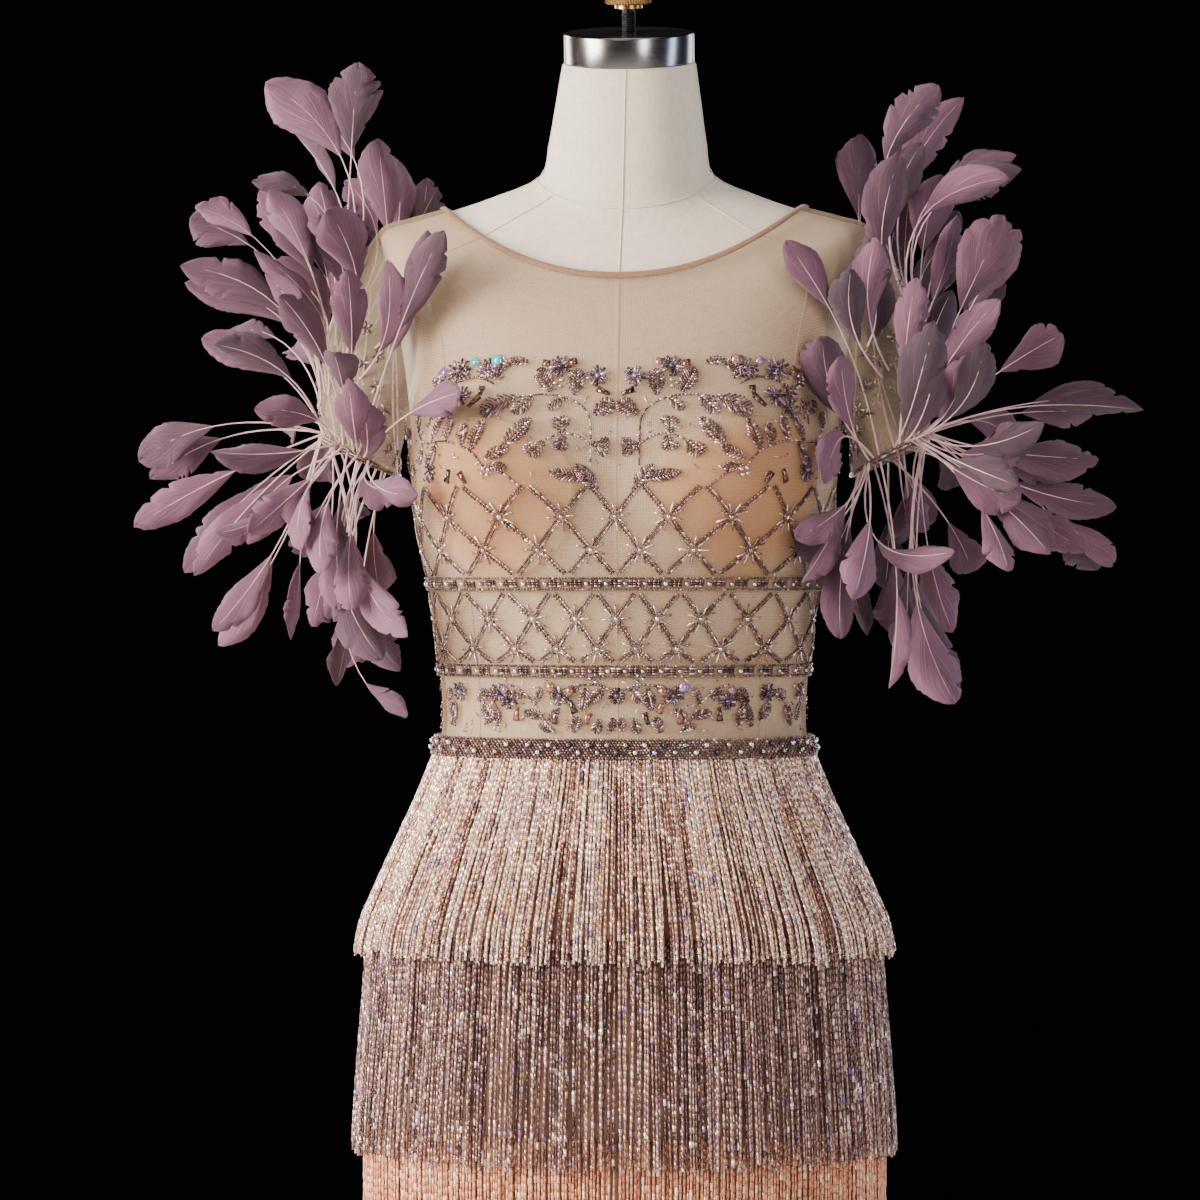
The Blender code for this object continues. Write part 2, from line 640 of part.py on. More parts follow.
def sleeve_point(around, down, side, out=0.0):
    """A point of a sleeve's outer side. Around is 0 on top, a quarter in front and a half under the arm."""
    angle = 2 * math.pi * around
    middle, half = (ARM_LOW + ARM_HIGH) / 2, (ARM_HIGH - ARM_LOW) / 2
    row = middle + half * math.cos(angle)
    turn = math.pi / 2 - ARM_HALF_TURN * math.sin(angle)
    edge = net_point(turn, row, NET_WALL)
    heart = net_point(math.pi / 2, middle, NET_WALL)
    start = edge + (heart - edge).normalized() * 2 * SEAM_GAP
    hem = HEM_CENTRE + Vector(
        (
            (HEM_HALF_WIDTH + out) * math.cos(angle),
            -(HEM_HALF_DEPTH + out) * math.sin(angle),
            HEM_RISE * math.cos(angle),
        )
    )
    puff = SLEEVE_PUFF * 4 * down * (1 - down) * (0.55 + 0.45 * math.cos(angle))
    place = start.lerp(hem, down) + Vector((puff, 0, 0))
    return Vector((side * place.x, place.y, place.z))


def add_sleeves(collection):
    """The two net cap sleeves, open at the hem, with no arm in them."""
    for name, side in (("sleeve_left", 1), ("sleeve_right", -1)):

        def point_at(across, up, side=side):
            around = 1 - across if side > 0 else across
            return sleeve_point(around, 1 - up, side)

        made = add_cloth(
            name, point_at, 2 * ARM_STEPS, SLEEVE_ROWS, NET_WALL, "net", collection, closed=True
        )
        made.modifiers["Wall"].offset = -1.0


def set_points(face, points):
    """Puts a face's corners at these points, in order."""
    for vert, point in zip(face.verts, points):
        vert.co = point


def grow(bm, face, sections):
    """Extrudes a face through sections, each with its four corners."""
    for section in sections:
        made = bmesh.ops.extrude_face_region(bm, geom=[face])
        face_after = next(item for item in made["geom"] if isinstance(item, bmesh.types.BMFace))
        if face.is_valid:
            bm.faces.remove(face)
        face = face_after
        set_points(face, section)


def spray_plan(side):
    """Every feather of a sleeve: its row on the tape, its heading and rise, and its sizes."""
    draw = random.Random(SPRAY_SEED + side)
    plan = []
    for tape_row, count, low, high, rise_out, rise_side, reach, vane, width in SPRAYS:
        for index in range(count):
            heading = low + (high - low) * (index + 0.5) / count
            heading += draw.uniform(-1, 1) * SPRAY_HEADING_JITTER
            sideways = abs(math.sin(math.radians(heading)))
            rise = rise_out + (rise_side - rise_out) * sideways
            rise += draw.uniform(-1, 1) * SPRAY_RISE_JITTER
            size = 1 + draw.uniform(-1, 1) * SPRAY_REACH_JITTER
            roll = draw.uniform(-0.9, 0.9)
            plan.append(
                (tape_row, math.radians(heading), math.radians(rise), reach * size, vane, width, roll)
            )
    return plan


def feather_sections(root, normal, heading, rise, reach, vane, width, roll, side):
    """The four corners of each section along a feather, from its quill's root to its tip."""
    level = Vector((side * math.cos(heading), -math.sin(heading), 0))
    along = level * math.cos(rise) + Vector((0, 0, math.sin(rise)))
    tip = root + along * reach
    knee = root + (along * 0.45 + normal * 0.24) * reach
    across = along.cross(Vector((0, 0, 1)))
    across = across.normalized() if across.length > 0.1 else Vector((0, -1, 0))
    across = Matrix.Rotation(roll, 3, along) @ across
    face = across.cross(along).normalized()
    bare = 1 - vane / reach
    sections = []
    for place, wide, thick in VANE_SHAPE:
        share = bare + (1 - bare) * place
        centre = root.lerp(knee, share).lerp(knee.lerp(tip, share), share)
        half_wide = max(width * wide, QUILL) / 2
        half_thick = max(VANE_THICK * thick, QUILL * 0.6) / 2
        sections.append(
            [
                centre + across * half_wide,
                centre + face * half_thick,
                centre - across * half_wide,
                centre - face * half_thick,
            ]
        )
    return sections


def add_feathers(collection):
    """A tape round each sleeve's hem, with the feathers' quills fused into it."""
    for name, side in (("feathers_left", 1), ("feathers_right", -1)):
        bm = bmesh.new()

        def point_at(across, up, side=side):
            around = across if side > 0 else 1 - across
            return sleeve_point(around, 1 - TAPE_SHARE * up, side, 2 * SEAM_GAP)

        _, faces = grid(bm, point_at, TAPE_COLUMNS, TAPE_ROWS, closed=True)
        middles = {}
        for index, face in enumerate(faces):
            middles[index] = face.calc_center_median()
        made = bmesh.ops.extrude_face_region(bm, geom=faces)
        for item in made["geom"]:
            if isinstance(item, bmesh.types.BMVert):
                flat = Vector((item.co.x - side * HEM_CENTRE.x, item.co.y - HEM_CENTRE.y, 0))
                item.co += flat.normalized() * TAPE_THICK
        bmesh.ops.recalc_face_normals(bm, faces=bm.faces[:])
        outer = [item for item in made["geom"] if isinstance(item, bmesh.types.BMFace)]
        free = {}
        for face in outer:
            middle = face.calc_center_median()
            index = min(middles, key=lambda key: (middles[key] - middle).length)
            free[divmod(index, TAPE_COLUMNS)] = face
        for tape_row, heading, rise, reach, vane, width, roll in spray_plan(side):
            half = TAPE_COLUMNS / 2
            column = heading / (2 * math.pi) * TAPE_COLUMNS
            column = column if side > 0 else -column
            nearest = min(
                (key for key in free if key[0] == tape_row),
                key=lambda key: abs((key[1] + 0.5 - column + half) % TAPE_COLUMNS - half),
            )
            face = free.pop(nearest)
            root, normal = face.calc_center_median(), face.normal.copy()
            sections = feather_sections(root, normal, heading, rise, reach, vane, width, roll, side)
            corners = [vert.co.copy() for vert in face.verts]
            small = [root + (corner - root).normalized() * QUILL * 0.7 for corner in corners]
            bmesh.ops.inset_individual(bm, faces=[face], thickness=QUILL_INSET)
            set_points(face, small)
            turned = match_corners(small, root, sections)
            grow(bm, face, turned)
        add_object(name, mesh_from(name, bm), "feather", collection)


def match_corners(small, root, sections):
    """The sections with their corners wound as the root's are, and turned to twist least from it."""
    spans = [second - first for first, second in zip(sections[0], sections[0][1:])]
    forward = sum(sections[1], Vector()) / 4 - sum(sections[0], Vector()) / 4
    flip = 1 if spans[0].cross(spans[1]).dot(forward) > 0 else -1
    best = None
    for shift in range(4):
        order = [(shift + flip * k) % 4 for k in range(4)]
        first = [sections[0][k] for k in order]
        centre = sum(first, Vector()) / 4
        cost = sum(((first[k] - centre) - (small[k] - root)).length for k in range(4))
        if best is None or cost < best[0]:
            best = (cost, order)
    return [[section[k] for k in best[1]] for section in sections]


def add_skirt(collection):
    """The underskirt: a front and a back that meet at the side seams, from the waist to the hem."""
    levels = [section[0] for section in SKIRT_SECTIONS]
    for name, middle in (("skirt_front", 0.0), ("skirt_back", math.pi)):

        def point_at(across, up, middle=middle):
            turn = middle + (2 * across - 1) * (math.pi / 2 - PANEL_TURN)
            return skirt_point(turn, levels[round(up * (len(levels) - 1))])

        made = add_cloth(
            name, point_at, SKIRT_HALF_COLUMNS, len(levels) - 1, SKIRT_WALL, "skirt", collection
        )
        made.modifiers["Wall"].offset = -1.0


def hanging_point(turn, start, end, share):
    """A point of a strand between two places on the skirt: straight, or over the skirt where it bulges."""
    (high, out_high), (low, out_low) = start, end
    straight = skirt_point(turn, high, out_high).lerp(skirt_point(turn, low, out_low), share)
    over = skirt_point(turn, high + (low - high) * share, out_high + (out_low - out_high) * share)
    return max(straight, over, key=lambda point: point.xy.length)


def add_fringes(collection):
    """Three tiers of beaded fringe, each a tape round the skirt with its locks of strands fused below."""
    finishes = ("fringe_silver", "fringe_mauve", "fringe_peach")
    for (name, (top, ends, out_top, out_ends, spans)), finish in zip(FRINGES.items(), finishes):
        draw = random.Random(name)
        bm = bmesh.new()
        columns = 2 * LOCKS

        def turn_at(column):
            """The turn of a column's start: locks are wide and the slits between them narrow."""
            pair, slit = divmod(column, 2)
            return 2 * math.pi * (pair + (LOCK_SHARE if slit else 0)) / LOCKS

        def tape(across, up, top=top, out_top=out_top):
            return skirt_point(turn_at(round(across * columns)), top - FRINGE_TAPE * (1 - up), out_top)

        levels, faces = grid(bm, tape, columns, 1, closed=True)
        made = bmesh.ops.extrude_face_region(bm, geom=faces)
        for item in made["geom"]:
            if isinstance(item, bmesh.types.BMVert):
                flat = Vector((item.co.x, item.co.y, 0))
                item.co += flat.normalized() * FRINGE_THICK
        bmesh.ops.recalc_face_normals(bm, faces=bm.faces[:])
        bm.verts.ensure_lookup_table()
        low_verts = levels[0]
        rims = {}
        for face in bm.faces:
            if face.normal.z < -0.7:
                inner = [vert for vert in face.verts if vert in low_verts]
                if len(inner) == 2:
                    places = sorted(low_verts.index(vert) for vert in inner)
                    start = places[1] if places == [0, columns - 1] else places[0]
                    rims[start] = face
        for lock in range(LOCKS):
            face = rims[2 * lock]
            start, stop = turn_at(2 * lock), turn_at(2 * lock + 1)
            bottom = ends + draw.uniform(-1, 1) * LOCK_JAG
            base = top - FRINGE_TAPE
            sections = []
            for span in range(1, spans + 1):
                share = span / spans
                trim = (stop - start) * (0.02 if span < spans else 0.10)
                ring = {}
                for key, turn, more in (
                    ("inner_start", start + trim, 0.0),
                    ("inner_stop", stop - trim, 0.0),
                    ("outer_stop", stop - trim, FRINGE_THICK),
                    ("outer_start", start + trim, FRINGE_THICK),
                ):
                    ring[key] = hanging_point(turn, (base, out_top + more), (bottom, out_ends + more), share)
                sections.append(list(ring.values()))
            first = low_verts[2 * lock]
            at = list(face.verts).index(first)
            onwards = face.verts[(at + 1) % 4] is low_verts[(2 * lock + 1) % columns]
            order = [(k - at) % 4 if onwards else (at - k) % 4 for k in range(4)]
            grow(bm, face, [[section[k] for k in order] for section in sections])
        add_object(name, mesh_from(name, bm), finish, collection)


def main():
    for item in list(bpy.data.objects):
        bpy.data.objects.remove(item)
    collection = bpy.data.collections.new("Fringe dress on form")
    helpers = bpy.data.collections.new("Cutters")
    for group in (collection, helpers):
        bpy.context.scene.collection.children.link(group)
    add_form(collection)
    add_neck_fittings(collection)
    add_stand(collection)
    add_bodice(collection)
    add_binding(collection)
    add_bands(collection)
    add_cups(collection)
    add_zip(collection, helpers)
    add_sleeves(collection)
    add_feathers(collection)
    add_skirt(collection)
    add_fringes(collection)


main()
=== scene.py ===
import math
import random

import bmesh
import bpy
import numpy as np
from mathutils import Matrix, Vector
from mathutils.bvhtree import BVHTree


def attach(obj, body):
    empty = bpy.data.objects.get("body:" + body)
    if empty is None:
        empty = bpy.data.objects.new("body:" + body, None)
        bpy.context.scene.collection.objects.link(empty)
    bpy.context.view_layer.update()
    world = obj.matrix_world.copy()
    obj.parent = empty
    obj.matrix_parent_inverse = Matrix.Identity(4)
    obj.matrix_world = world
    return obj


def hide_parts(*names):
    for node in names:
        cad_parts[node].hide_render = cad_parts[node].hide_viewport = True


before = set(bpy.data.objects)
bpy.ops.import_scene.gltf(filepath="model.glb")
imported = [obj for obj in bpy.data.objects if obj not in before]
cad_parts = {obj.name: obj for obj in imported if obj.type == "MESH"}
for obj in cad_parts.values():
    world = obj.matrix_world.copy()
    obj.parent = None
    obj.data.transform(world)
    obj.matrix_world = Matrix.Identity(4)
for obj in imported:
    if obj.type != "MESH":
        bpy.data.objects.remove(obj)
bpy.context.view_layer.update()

bl_info = {
    "name": "Beaded Fringe Dress",
    "version": (1, 0, 0),
    "blender": (4, 5, 0),
    "location": "3D View > Sidebar > Dress",
    "description": "A feathered and beaded cocktail dress on a covered dress form",
    "category": "Object",
}

MM = 0.001
WELD = 0.01 * MM
BODY = "dress_and_form"
# The wearer's left is towards +X, and so at the viewer's right
SIDES = {"left": 1, "right": -1}

# Sizes of the dress form

# The form's sections from its lower edge to the top of its neck, in metres: the height of a section's
# sides, front and back, half its width, its depth in front and behind, how far it leans back, and how it
# rises from its sides, where 1 is a flat tilted ring and 2 a saddle
FORM_SECTIONS = {
    "lower_edge": (0.760, 0.760, 0.760, 0.1700, 0.1010, 0.1180, 0.0, 2.0),
    "low_hip": (0.800, 0.800, 0.800, 0.1765, 0.1065, 0.1265, 0.0, 2.0),
    "hip": (0.860, 0.860, 0.860, 0.1775, 0.1080, 0.1270, 0.0, 2.0),
    "high_hip": (0.895, 0.895, 0.895, 0.1745, 0.1070, 0.1250, 0.0, 2.0),
    "upper_hip": (0.925, 0.925, 0.925, 0.1660, 0.1040, 0.1175, 0.0, 2.0),
    "belly": (0.967, 0.967, 0.967, 0.1500, 0.0980, 0.1035, 0.0, 2.0),
    "low_waist": (1.000, 1.000, 1.000, 0.1370, 0.0925, 0.0935, 0.0, 2.0),
    "waist_seam": (1.031, 1.031, 1.031, 0.1285, 0.0885, 0.0855, 0.0, 2.0),
    "waist": (1.058, 1.058, 1.058, 0.1270, 0.0870, 0.0830, 0.0, 2.0),
    "rib": (1.100, 1.100, 1.100, 0.1310, 0.0915, 0.0875, 0.0, 2.0),
    "under_bust": (1.145, 1.145, 1.145, 0.1370, 0.0990, 0.0950, 0.0, 2.0),
    "low_bust": (1.190, 1.188, 1.190, 0.1460, 0.1060, 0.1030, 0.0, 2.0),
    "bust": (1.235, 1.230, 1.232, 0.1510, 0.1070, 0.1080, 0.0, 2.0),
    "underarm": (1.268, 1.260, 1.262, 0.1540, 0.1020, 0.1095, 0.0, 2.0),
    "low_armhole": (1.302, 1.284, 1.290, 0.1580, 0.0955, 0.1085, 0.0, 2.0),
    "mid_armhole": (1.338, 1.305, 1.316, 0.1640, 0.0885, 0.1060, 0.0, 2.0),
    "high_armhole": (1.372, 1.324, 1.342, 0.1710, 0.0820, 0.1010, 0.0, 2.0),
    "shoulder_tip": (1.397, 1.340, 1.364, 0.1740, 0.0765, 0.0955, 0.0, 2.0),
    "shoulder": (1.405, 1.351, 1.381, 0.1530, 0.0725, 0.0890, 0.0, 2.0),
    "neckline": (1.412, 1.362, 1.399, 0.1275, 0.0690, 0.0805, 0.0, 2.0),
    "collar": (1.423, 1.386, 1.424, 0.0950, 0.0630, 0.0670, 0.0, 1.8),
    "neck_base": (1.438, 1.413, 1.449, 0.0625, 0.0570, 0.0560, 0.001, 1.3),
    "low_neck": (1.462, 1.447, 1.476, 0.0560, 0.0530, 0.0520, -0.007, 1.0),
    "high_neck": (1.489, 1.4775, 1.5005, 0.0515, 0.0500, 0.0495, -0.0145, 1.0),
    "neck_top": (1.517, 1.5064, 1.5276, 0.0470, 0.0458, 0.0458, -0.0220, 1.0),
}
SECTIONS = list(FORM_SECTIONS.values())
ROW = {name: index for index, name in enumerate(FORM_SECTIONS)}
# How full a section's corners are, where 1 is an ellipse, and how far to the left the neck stands
SQUARENESS = 0.92
NECK_SHIFT = 5 * MM
# A usual distance of the cloth from the form's middle, which turns a length round it into an angle
USUAL_RADIUS = 0.12

# The bust: its middle's turn from the front and its row of the table, its reach each way, and its rise
BUST_TURN, BUST_HALF_TURN = math.radians(33), math.radians(21)
BUST_ROW, BUST_ROWS_UP, BUST_ROWS_DOWN = ROW["bust"] - 0.2, 1.35, 0.85
BUST_RISE = 20 * MM

# The neck's fittings and the stand, each turned round its own axis
NECK_TILT = math.radians(13)
NECK_TOP = Vector((NECK_SHIFT, -0.0220, 1.517))
CAP_RADIUS, CAP_HEIGHT, CAP_GAP = 46.4 * MM, 21.3 * MM, 0.3 * MM
SCREW_RADIUS, SCREW_LENGTH, SCREW_SEAT, THREAD_PITCH = 5.0 * MM, 17 * MM, 12 * MM, 1.7 * MM
THREAD_DEPTH = 0.75 * MM
KNOB_RADIUS, KNOB_HEIGHT, KNOB_COLLAR_RADIUS, KNOB_COLLAR = 16.8 * MM, 8 * MM, 10 * MM, 3 * MM
KNURL_TEETH, KNURL_DEPTH = 56, 0.75 * MM
BASE_RADIUS, BASE_HEIGHT, BASE_SLOPE = 200 * MM, 14 * MM, 12 * MM
HUB_RADIUS, HUB_FOOT_RADIUS, HUB_TOP = 26 * MM, 44 * MM, 85 * MM
POLE_RADIUS, FLANGE_RADIUS, FLANGE_HEIGHT = 16 * MM, 50 * MM, 8 * MM

# Sizes of the dress

# The cups: the middle's turn and row, the reach each way, the gap under them, the wall, the room that the
# net leaves for them, and the side of the square that each is cut from
CUP_TURN, CUP_HALF_TURN = math.radians(36), math.radians(25)
CUP_ROW, CUP_HALF_ROWS = ROW["bust"] - 0.65, 1.25
CUP_GAP, CUP_WALL, CUP_ROOM = 2.0 * MM, 2.2 * MM, 4.4 * MM
CUP_CUT = 0.135
# How far out of the form the net lies, how far out of it the sleeves begin, and the wall of net
EASE, NET_WALL = 3.2 * MM, 1.2 * MM
NET_THICKNESS = 0.6 * MM
# What is left open each side of the centre back, and at a side seam as an angle
BACK_OPENING, SEAM_TURN = 2.8 * MM, 0.001

# The armhole's lowest and highest rows and its reach round from the side, then the sleeve's hem and puff
ARM_LOW, ARM_HIGH = ROW["underarm"] - 0.15, ROW["shoulder_tip"]
ARM_MIDDLE, ARM_HALF_ROWS = (ARM_LOW + ARM_HIGH) / 2, (ARM_HIGH - ARM_LOW) / 2
ARM_HALF_TURN = math.radians(30)
HEM_CENTRE = Vector((0.1905, 0.002, 1.233))
HEM_HALF_WIDTH, HEM_HALF_DEPTH, HEM_RISE = 27 * MM, 52 * MM, 12 * MM
SLEEVE_PUFF = 17 * MM
# The rings of beads at a sleeve's hem, each with how far down the sleeve it lies and how light it is
HEM_RINGS, HEM_RING_BEADS = ((0.985, 0.2), (0.965, 0.6), (0.945, 0.3)), 110
SLEEVE_SPRIGS, SPRIG_LEAVES = 34, 5

# The underskirt's sections from its hem up: height, half width, and depth in front and behind
SKIRT_SECTIONS = (
    (0.560, 0.1810, 0.1110, 0.1280),
    (0.740, 0.1850, 0.1145, 0.1335),
    (0.850, 0.1832, 0.1138, 0.1326),
    (0.895, 0.1815, 0.1130, 0.1312),
    (0.925, 0.1720, 0.1095, 0.1230),
    (0.967, 0.1555, 0.1035, 0.1090),
    (1.000, 0.1425, 0.0980, 0.0990),
    (1.0305, 0.1330, 0.0930, 0.0900),
)

# Fringe tiers: heights of the tape's top and of the ends, how far out of the skirt the strands lie at
# each, the number of strands, and the length and width of a bead
FRINGES = {
    "fringe_upper": (1.0208, 0.8820, 1.0 * MM, 9.8 * MM, 480, 4.6 * MM, 2.5 * MM),
    "fringe_middle": (0.8960, 0.7400, 1.2 * MM, 8.8 * MM, 450, 5.0 * MM, 2.35 * MM),
    "fringe_lower": (0.7580, 0.5640, 1.0 * MM, 2.8 * MM, 430, 5.8 * MM, 2.35 * MM),
}
FRINGE_TAPE, FRINGE_START = 7 * MM, 1.5 * MM
# Strands lie closer in turn at the flat front and back than at the sides, so that they are evenly spaced
FRINGE_SPREAD = 0.088
BEAD_GAP = 0.3 * MM

# Where a feather's vane begins and where it ends, each out from the middle of the sleeve's hem and up from
# it, its width, and how far ahead of the hem its tip lies, all in millimetres
FEATHERS_RIGHT = (
    (13, 219, 62, 270, 42, 20),
    (2, 220, -3, 275, 37, 60),
    (-17, 168, -9, 233, 32, -30),
    (24, 200, 56, 243, 13, -60),
    (-26, 138, -43, 204, 16, -70),
    (33, 189, 69, 204, 16, 40),
    (73, 160, 108, 181, 20, 60),
    (54, 153, 80, 199, 22, -40),
    (31, 140, 53, 186, 24, 80),
    (13, 135, 37, 188, 24, -60),
    (-5, 169, 20, 210, 22, -80),
    (-6, 122, 10, 170, 35, 100),
    (53, 106, 123, 140, 32, 30),
    (67, 92, 109, 101, 20, -50),
    (44, 57, 93, 81, 24, 70),
    (16, 65, 44, 112, 24, 100),
    (-36, 90, -67, 153, 25, 110),
    (21, 26, 57, 36, 19, 110),
    (107, 26, 161, 4, 32, 0),
    (87, -7, 156, -45, 26, 40),
    (69, -17, 123, -80, 24, -20),
    (33, 6, 93, 3, 23, 90),
    (62, -67, 101, -120, 23, 30),
    (29, -14, 67, -51, 22, 90),
    (29, -20, 34, -61, 20, 100),
    (39, -73, 36, -124, 10, 60),
    (14, -30, 15, -78, 20, 110),
    (10, -71, 27, -115, 17, -60),
    (10, -107, 21, -159, 17, -20),
    (-8, -159, -34, -183, 17, 60),
    (7, -76, -24, -137, 30, 100),
    (-8, -73, -42, -123, 24, 120),
    (-17, -16, -46, -30, 16, 110),
    (-43, 30, -84, 43, 22, 125),
    (-5, 10, -3, 52, 24, 100),
    (-2, 72, -3, 128, 26, 105),
    (-20, 75, -27, 134, 20, 90),
    (2, 42, 5, 72, 20, 112),
    (24, 100, 66, 152, 20, 50),
    (30, 84, 60, 128, 19, 64),
    (8, 118, 24, 172, 22, 40),
    (44, -30, 92, -52, 22, 70),
    (-2, -52, -6, -104, 24, 112),
)
FEATHERS_LEFT = (
    (-22, 176, -21, 234, 29, -20),
    (-3, 211, 31, 262, 30, 40),
    (10, 194, 53, 262, 29, -40),
    (35, 193, 87, 217, 23, 20),
    (24, 172, 80, 196, 26, 60),
    (24, 135, 49, 170, 22, -60),
    (49, 103, 78, 158, 40, 90),
    (77, 61, 118, 85, 32, 60),
    (41, 27, 66, 73, 26, 100),
    (107, 39, 177, 34, 22, 10),
    (102, 42, 161, 46, 19, -30),
    (-42, 104, -71, 145, 24, 100),
    (-21, 79, -28, 129, 26, 90),
    (-5, 139, 8, 207, 32, 70),
    (10, 21, 29, 89, 32, 110),
    (26, 73, 45, 124, 26, -60),
    (72, 6, 142, 1, 29, 60),
    (86, -16, 157, -33, 24, 30),
    (126, -43, 157, -77, 20, -20),
    (82, -27, 134, -65, 23, 60),
    (69, -25, 109, -66, 22, 90),
    (64, -35, 80, -79, 20, 100),
    (45, -2, 86, -20, 20, 110),
    (-9, -58, 43, -68, 19, 90),
    (19, -101, 43, -170, 36, 60),
    (5, -94, 0, -159, 13, 90),
    (13, -82, 14, -142, 20, 40),
    (-31, -58, -34, -123, 24, 80),
    (-31, -33, -61, -53, 19, 110),
    (-28, -71, -17, -123, 17, -30),
    (-35, -43, -59, -87, 17, 90),
    (-31, 15, -40, -14, 19, 100),
    (18, -18, 31, -46, 19, -50),
    (10, 60, 14, 118, 24, 102),
    (-12, 88, -10, 150, 26, 84),
    (30, 110, 50, 166, 22, 60),
    (0, 160, 22, 222, 22, 30),
    (36, 58, 72, 106, 24, 92),
    (-26, 20, -34, 66, 20, 112),
    (-14, -44, -26, -98, 26, 112),
    (56, 8, 104, 22, 22, 84),
)
FEATHERS = {"left": FEATHERS_LEFT, "right": FEATHERS_RIGHT}
FEATHERS_BEHIND = 20
# A vane's least full width, the columns and rows of its grid, and its quill's radius, taper and rows
VANE_FULL, VANE_COLUMNS, VANE_ROWS = 27 * MM, 6, 27
QUILL_RADIUS, QUILL_TAPER, QUILL_ROWS = 0.85 * MM, 0.78, 12

# The lower and upper edge of each band of beads, and how far out of the form the waistband lies
BANDS = {"under_bust_band": (1.1400, 1.1495), "midriff_band": (1.0790, 1.0880), "waistband": (1.0214, 1.0358)}
WAISTBAND_OUT = 6.2 * MM
# Each diamond lattice: the heights of its rows of nodes, the nodes in a row, and the rows with stars
LATTICES = {
    "upper": ((1.1495, 1.168, 1.191, 1.214), 20, (1, 2)),
    "lower": ((1.0885, 1.099, 1.120, 1.1395), 22, (1, 2)),
}
BAND_CRYSTALS = 48

# The camera's distance, height, step to the side and turn, from how the hem and cap curve in the photo,
# and half the width that it sees at the dress
CAMERA_DISTANCE, CAMERA_HEIGHT, CAMERA_SIDE = 3.0, 1.133, 17.3 * MM
CAMERA_AZIMUTH = math.radians(3.5)
HALF_VIEW = 0.432


# Settings


class DressSettings(bpy.types.PropertyGroup):
    linen: bpy.props.StringProperty(name="Linen", description="Colour of the form's cover", default="#DBD0BF")
    net: bpy.props.StringProperty(name="Net", description="Colour of the sheer net", default="#AE8A66")
    binding: bpy.props.StringProperty(name="Binding", description="Colour of the neckline", default="#8C694E")
    cup: bpy.props.StringProperty(name="Cups", description="Colour of the bust cups", default="#C28759")
    crepe: bpy.props.StringProperty(name="Crepe", description="Colour of the underskirt", default="#97715F")
    vane: bpy.props.StringProperty(name="Vanes", description="Colour of the feathers", default="#643C53")
    quill: bpy.props.StringProperty(name="Quills", description="Colour of the bare quills", default="#B38A92")
    tip_jag: bpy.props.FloatProperty(
        name="Fringe jag",
        description="How unevenly the strands of fringe end",
        default=5 * MM,
        min=0.0,
        unit="LENGTH",
    )
    sway: bpy.props.FloatProperty(
        name="Fringe sway",
        description="How far a strand's end strays to the side",
        default=2.2 * MM,
        min=0.0,
        unit="LENGTH",
    )
    light: bpy.props.FloatProperty(
        name="Light",
        description="Power of the main softbox",
        default=120.0,
        min=0.0,
        unit="POWER",
    )


# Finishes


def linear(colour):
    """An sRGB hex colour as linear red, green, blue and alpha."""
    parts = [int(colour[k : k + 2], 16) / 255 for k in (1, 3, 5)]
    return [c / 12.92 if c <= 0.04045 else ((c + 0.055) / 1.055) ** 2.4 for c in parts] + [1.0]


def add_node(tree, kind, settings=None, inputs=None, to=None):
    """A node with its settings, and its inputs by socket name or number, as values or other nodes' outputs.
    Its first output may be linked to a socket."""
    made = tree.nodes.new(kind)
    for name, value in (settings or {}).items():
        setattr(made, name, value)
    for name, value in (inputs or {}).items():
        if isinstance(value, bpy.types.NodeSocket):
            tree.links.new(value, made.inputs[name])
        else:
            made.inputs[name].default_value = value
    if to:
        tree.links.new(made.outputs[0], to)
    return made


def compute(tree, operation, *values):
    """The result of a math node on values or other nodes' outputs."""
    return add_node(tree, "ShaderNodeMath", {"operation": operation}, dict(enumerate(values))).outputs[0]


def tint(tree, shader, share, steps):
    """Colours a shader by a share along a ramp, whose steps are places and hex colours."""
    ramp = add_node(tree, "ShaderNodeValToRGB", inputs={"Fac": share}, to=shader.inputs["Base Color"])
    stops = ramp.color_ramp.elements
    while len(stops) < len(steps):
        stops.new(0.5)
    for stop, (place, colour) in zip(stops, steps):
        stop.position = place
        stop.color = linear(colour)


def emboss(tree, shader, height, depth, strength):
    """Raises a shader's surface by a height, in shares of a depth in metres."""
    bump = {"Height": height, "Distance": depth, "Strength": strength}
    add_node(tree, "ShaderNodeBump", inputs=bump, to=shader.inputs["Normal"])


def new_finish(name, **sockets):
    """A material with constants on its shader, and its node tree and shader."""
    made = bpy.data.materials.new(name)
    made.use_nodes = True
    shader = made.node_tree.nodes["Principled BSDF"]
    for socket, value in sockets.items():
        shader.inputs[socket.replace("_", " ")].default_value = value
    return made, made.node_tree, shader


def threads(tree, pitch, depth, shader, strength=0.6):
    """Woven threads as bump: two waves across each other on a UV map in metres. Real threads are half as
    far apart or closer and would not show, so each pitch is drawn coarser than real."""
    place = add_node(tree, "ShaderNodeUVMap", {"uv_map": "metres"}).outputs["UV"]
    split = add_node(tree, "ShaderNodeSeparateXYZ", inputs={0: place})
    waves = []
    for axis in ("X", "Y"):
        phase = compute(tree, "MULTIPLY", split.outputs[axis], 2 * math.pi / pitch)
        waves.append(compute(tree, "SINE", phase))
    weave = compute(tree, "ADD", *waves)
    spread = {"Vector": place, "Scale": 0.16 / pitch, "Detail": 3.0}
    slub = add_node(tree, "ShaderNodeTexNoise", inputs=spread).outputs["Fac"]
    emboss(tree, shader, compute(tree, "MULTIPLY_ADD", slub, 2.5, weave), depth, strength)
    return slub


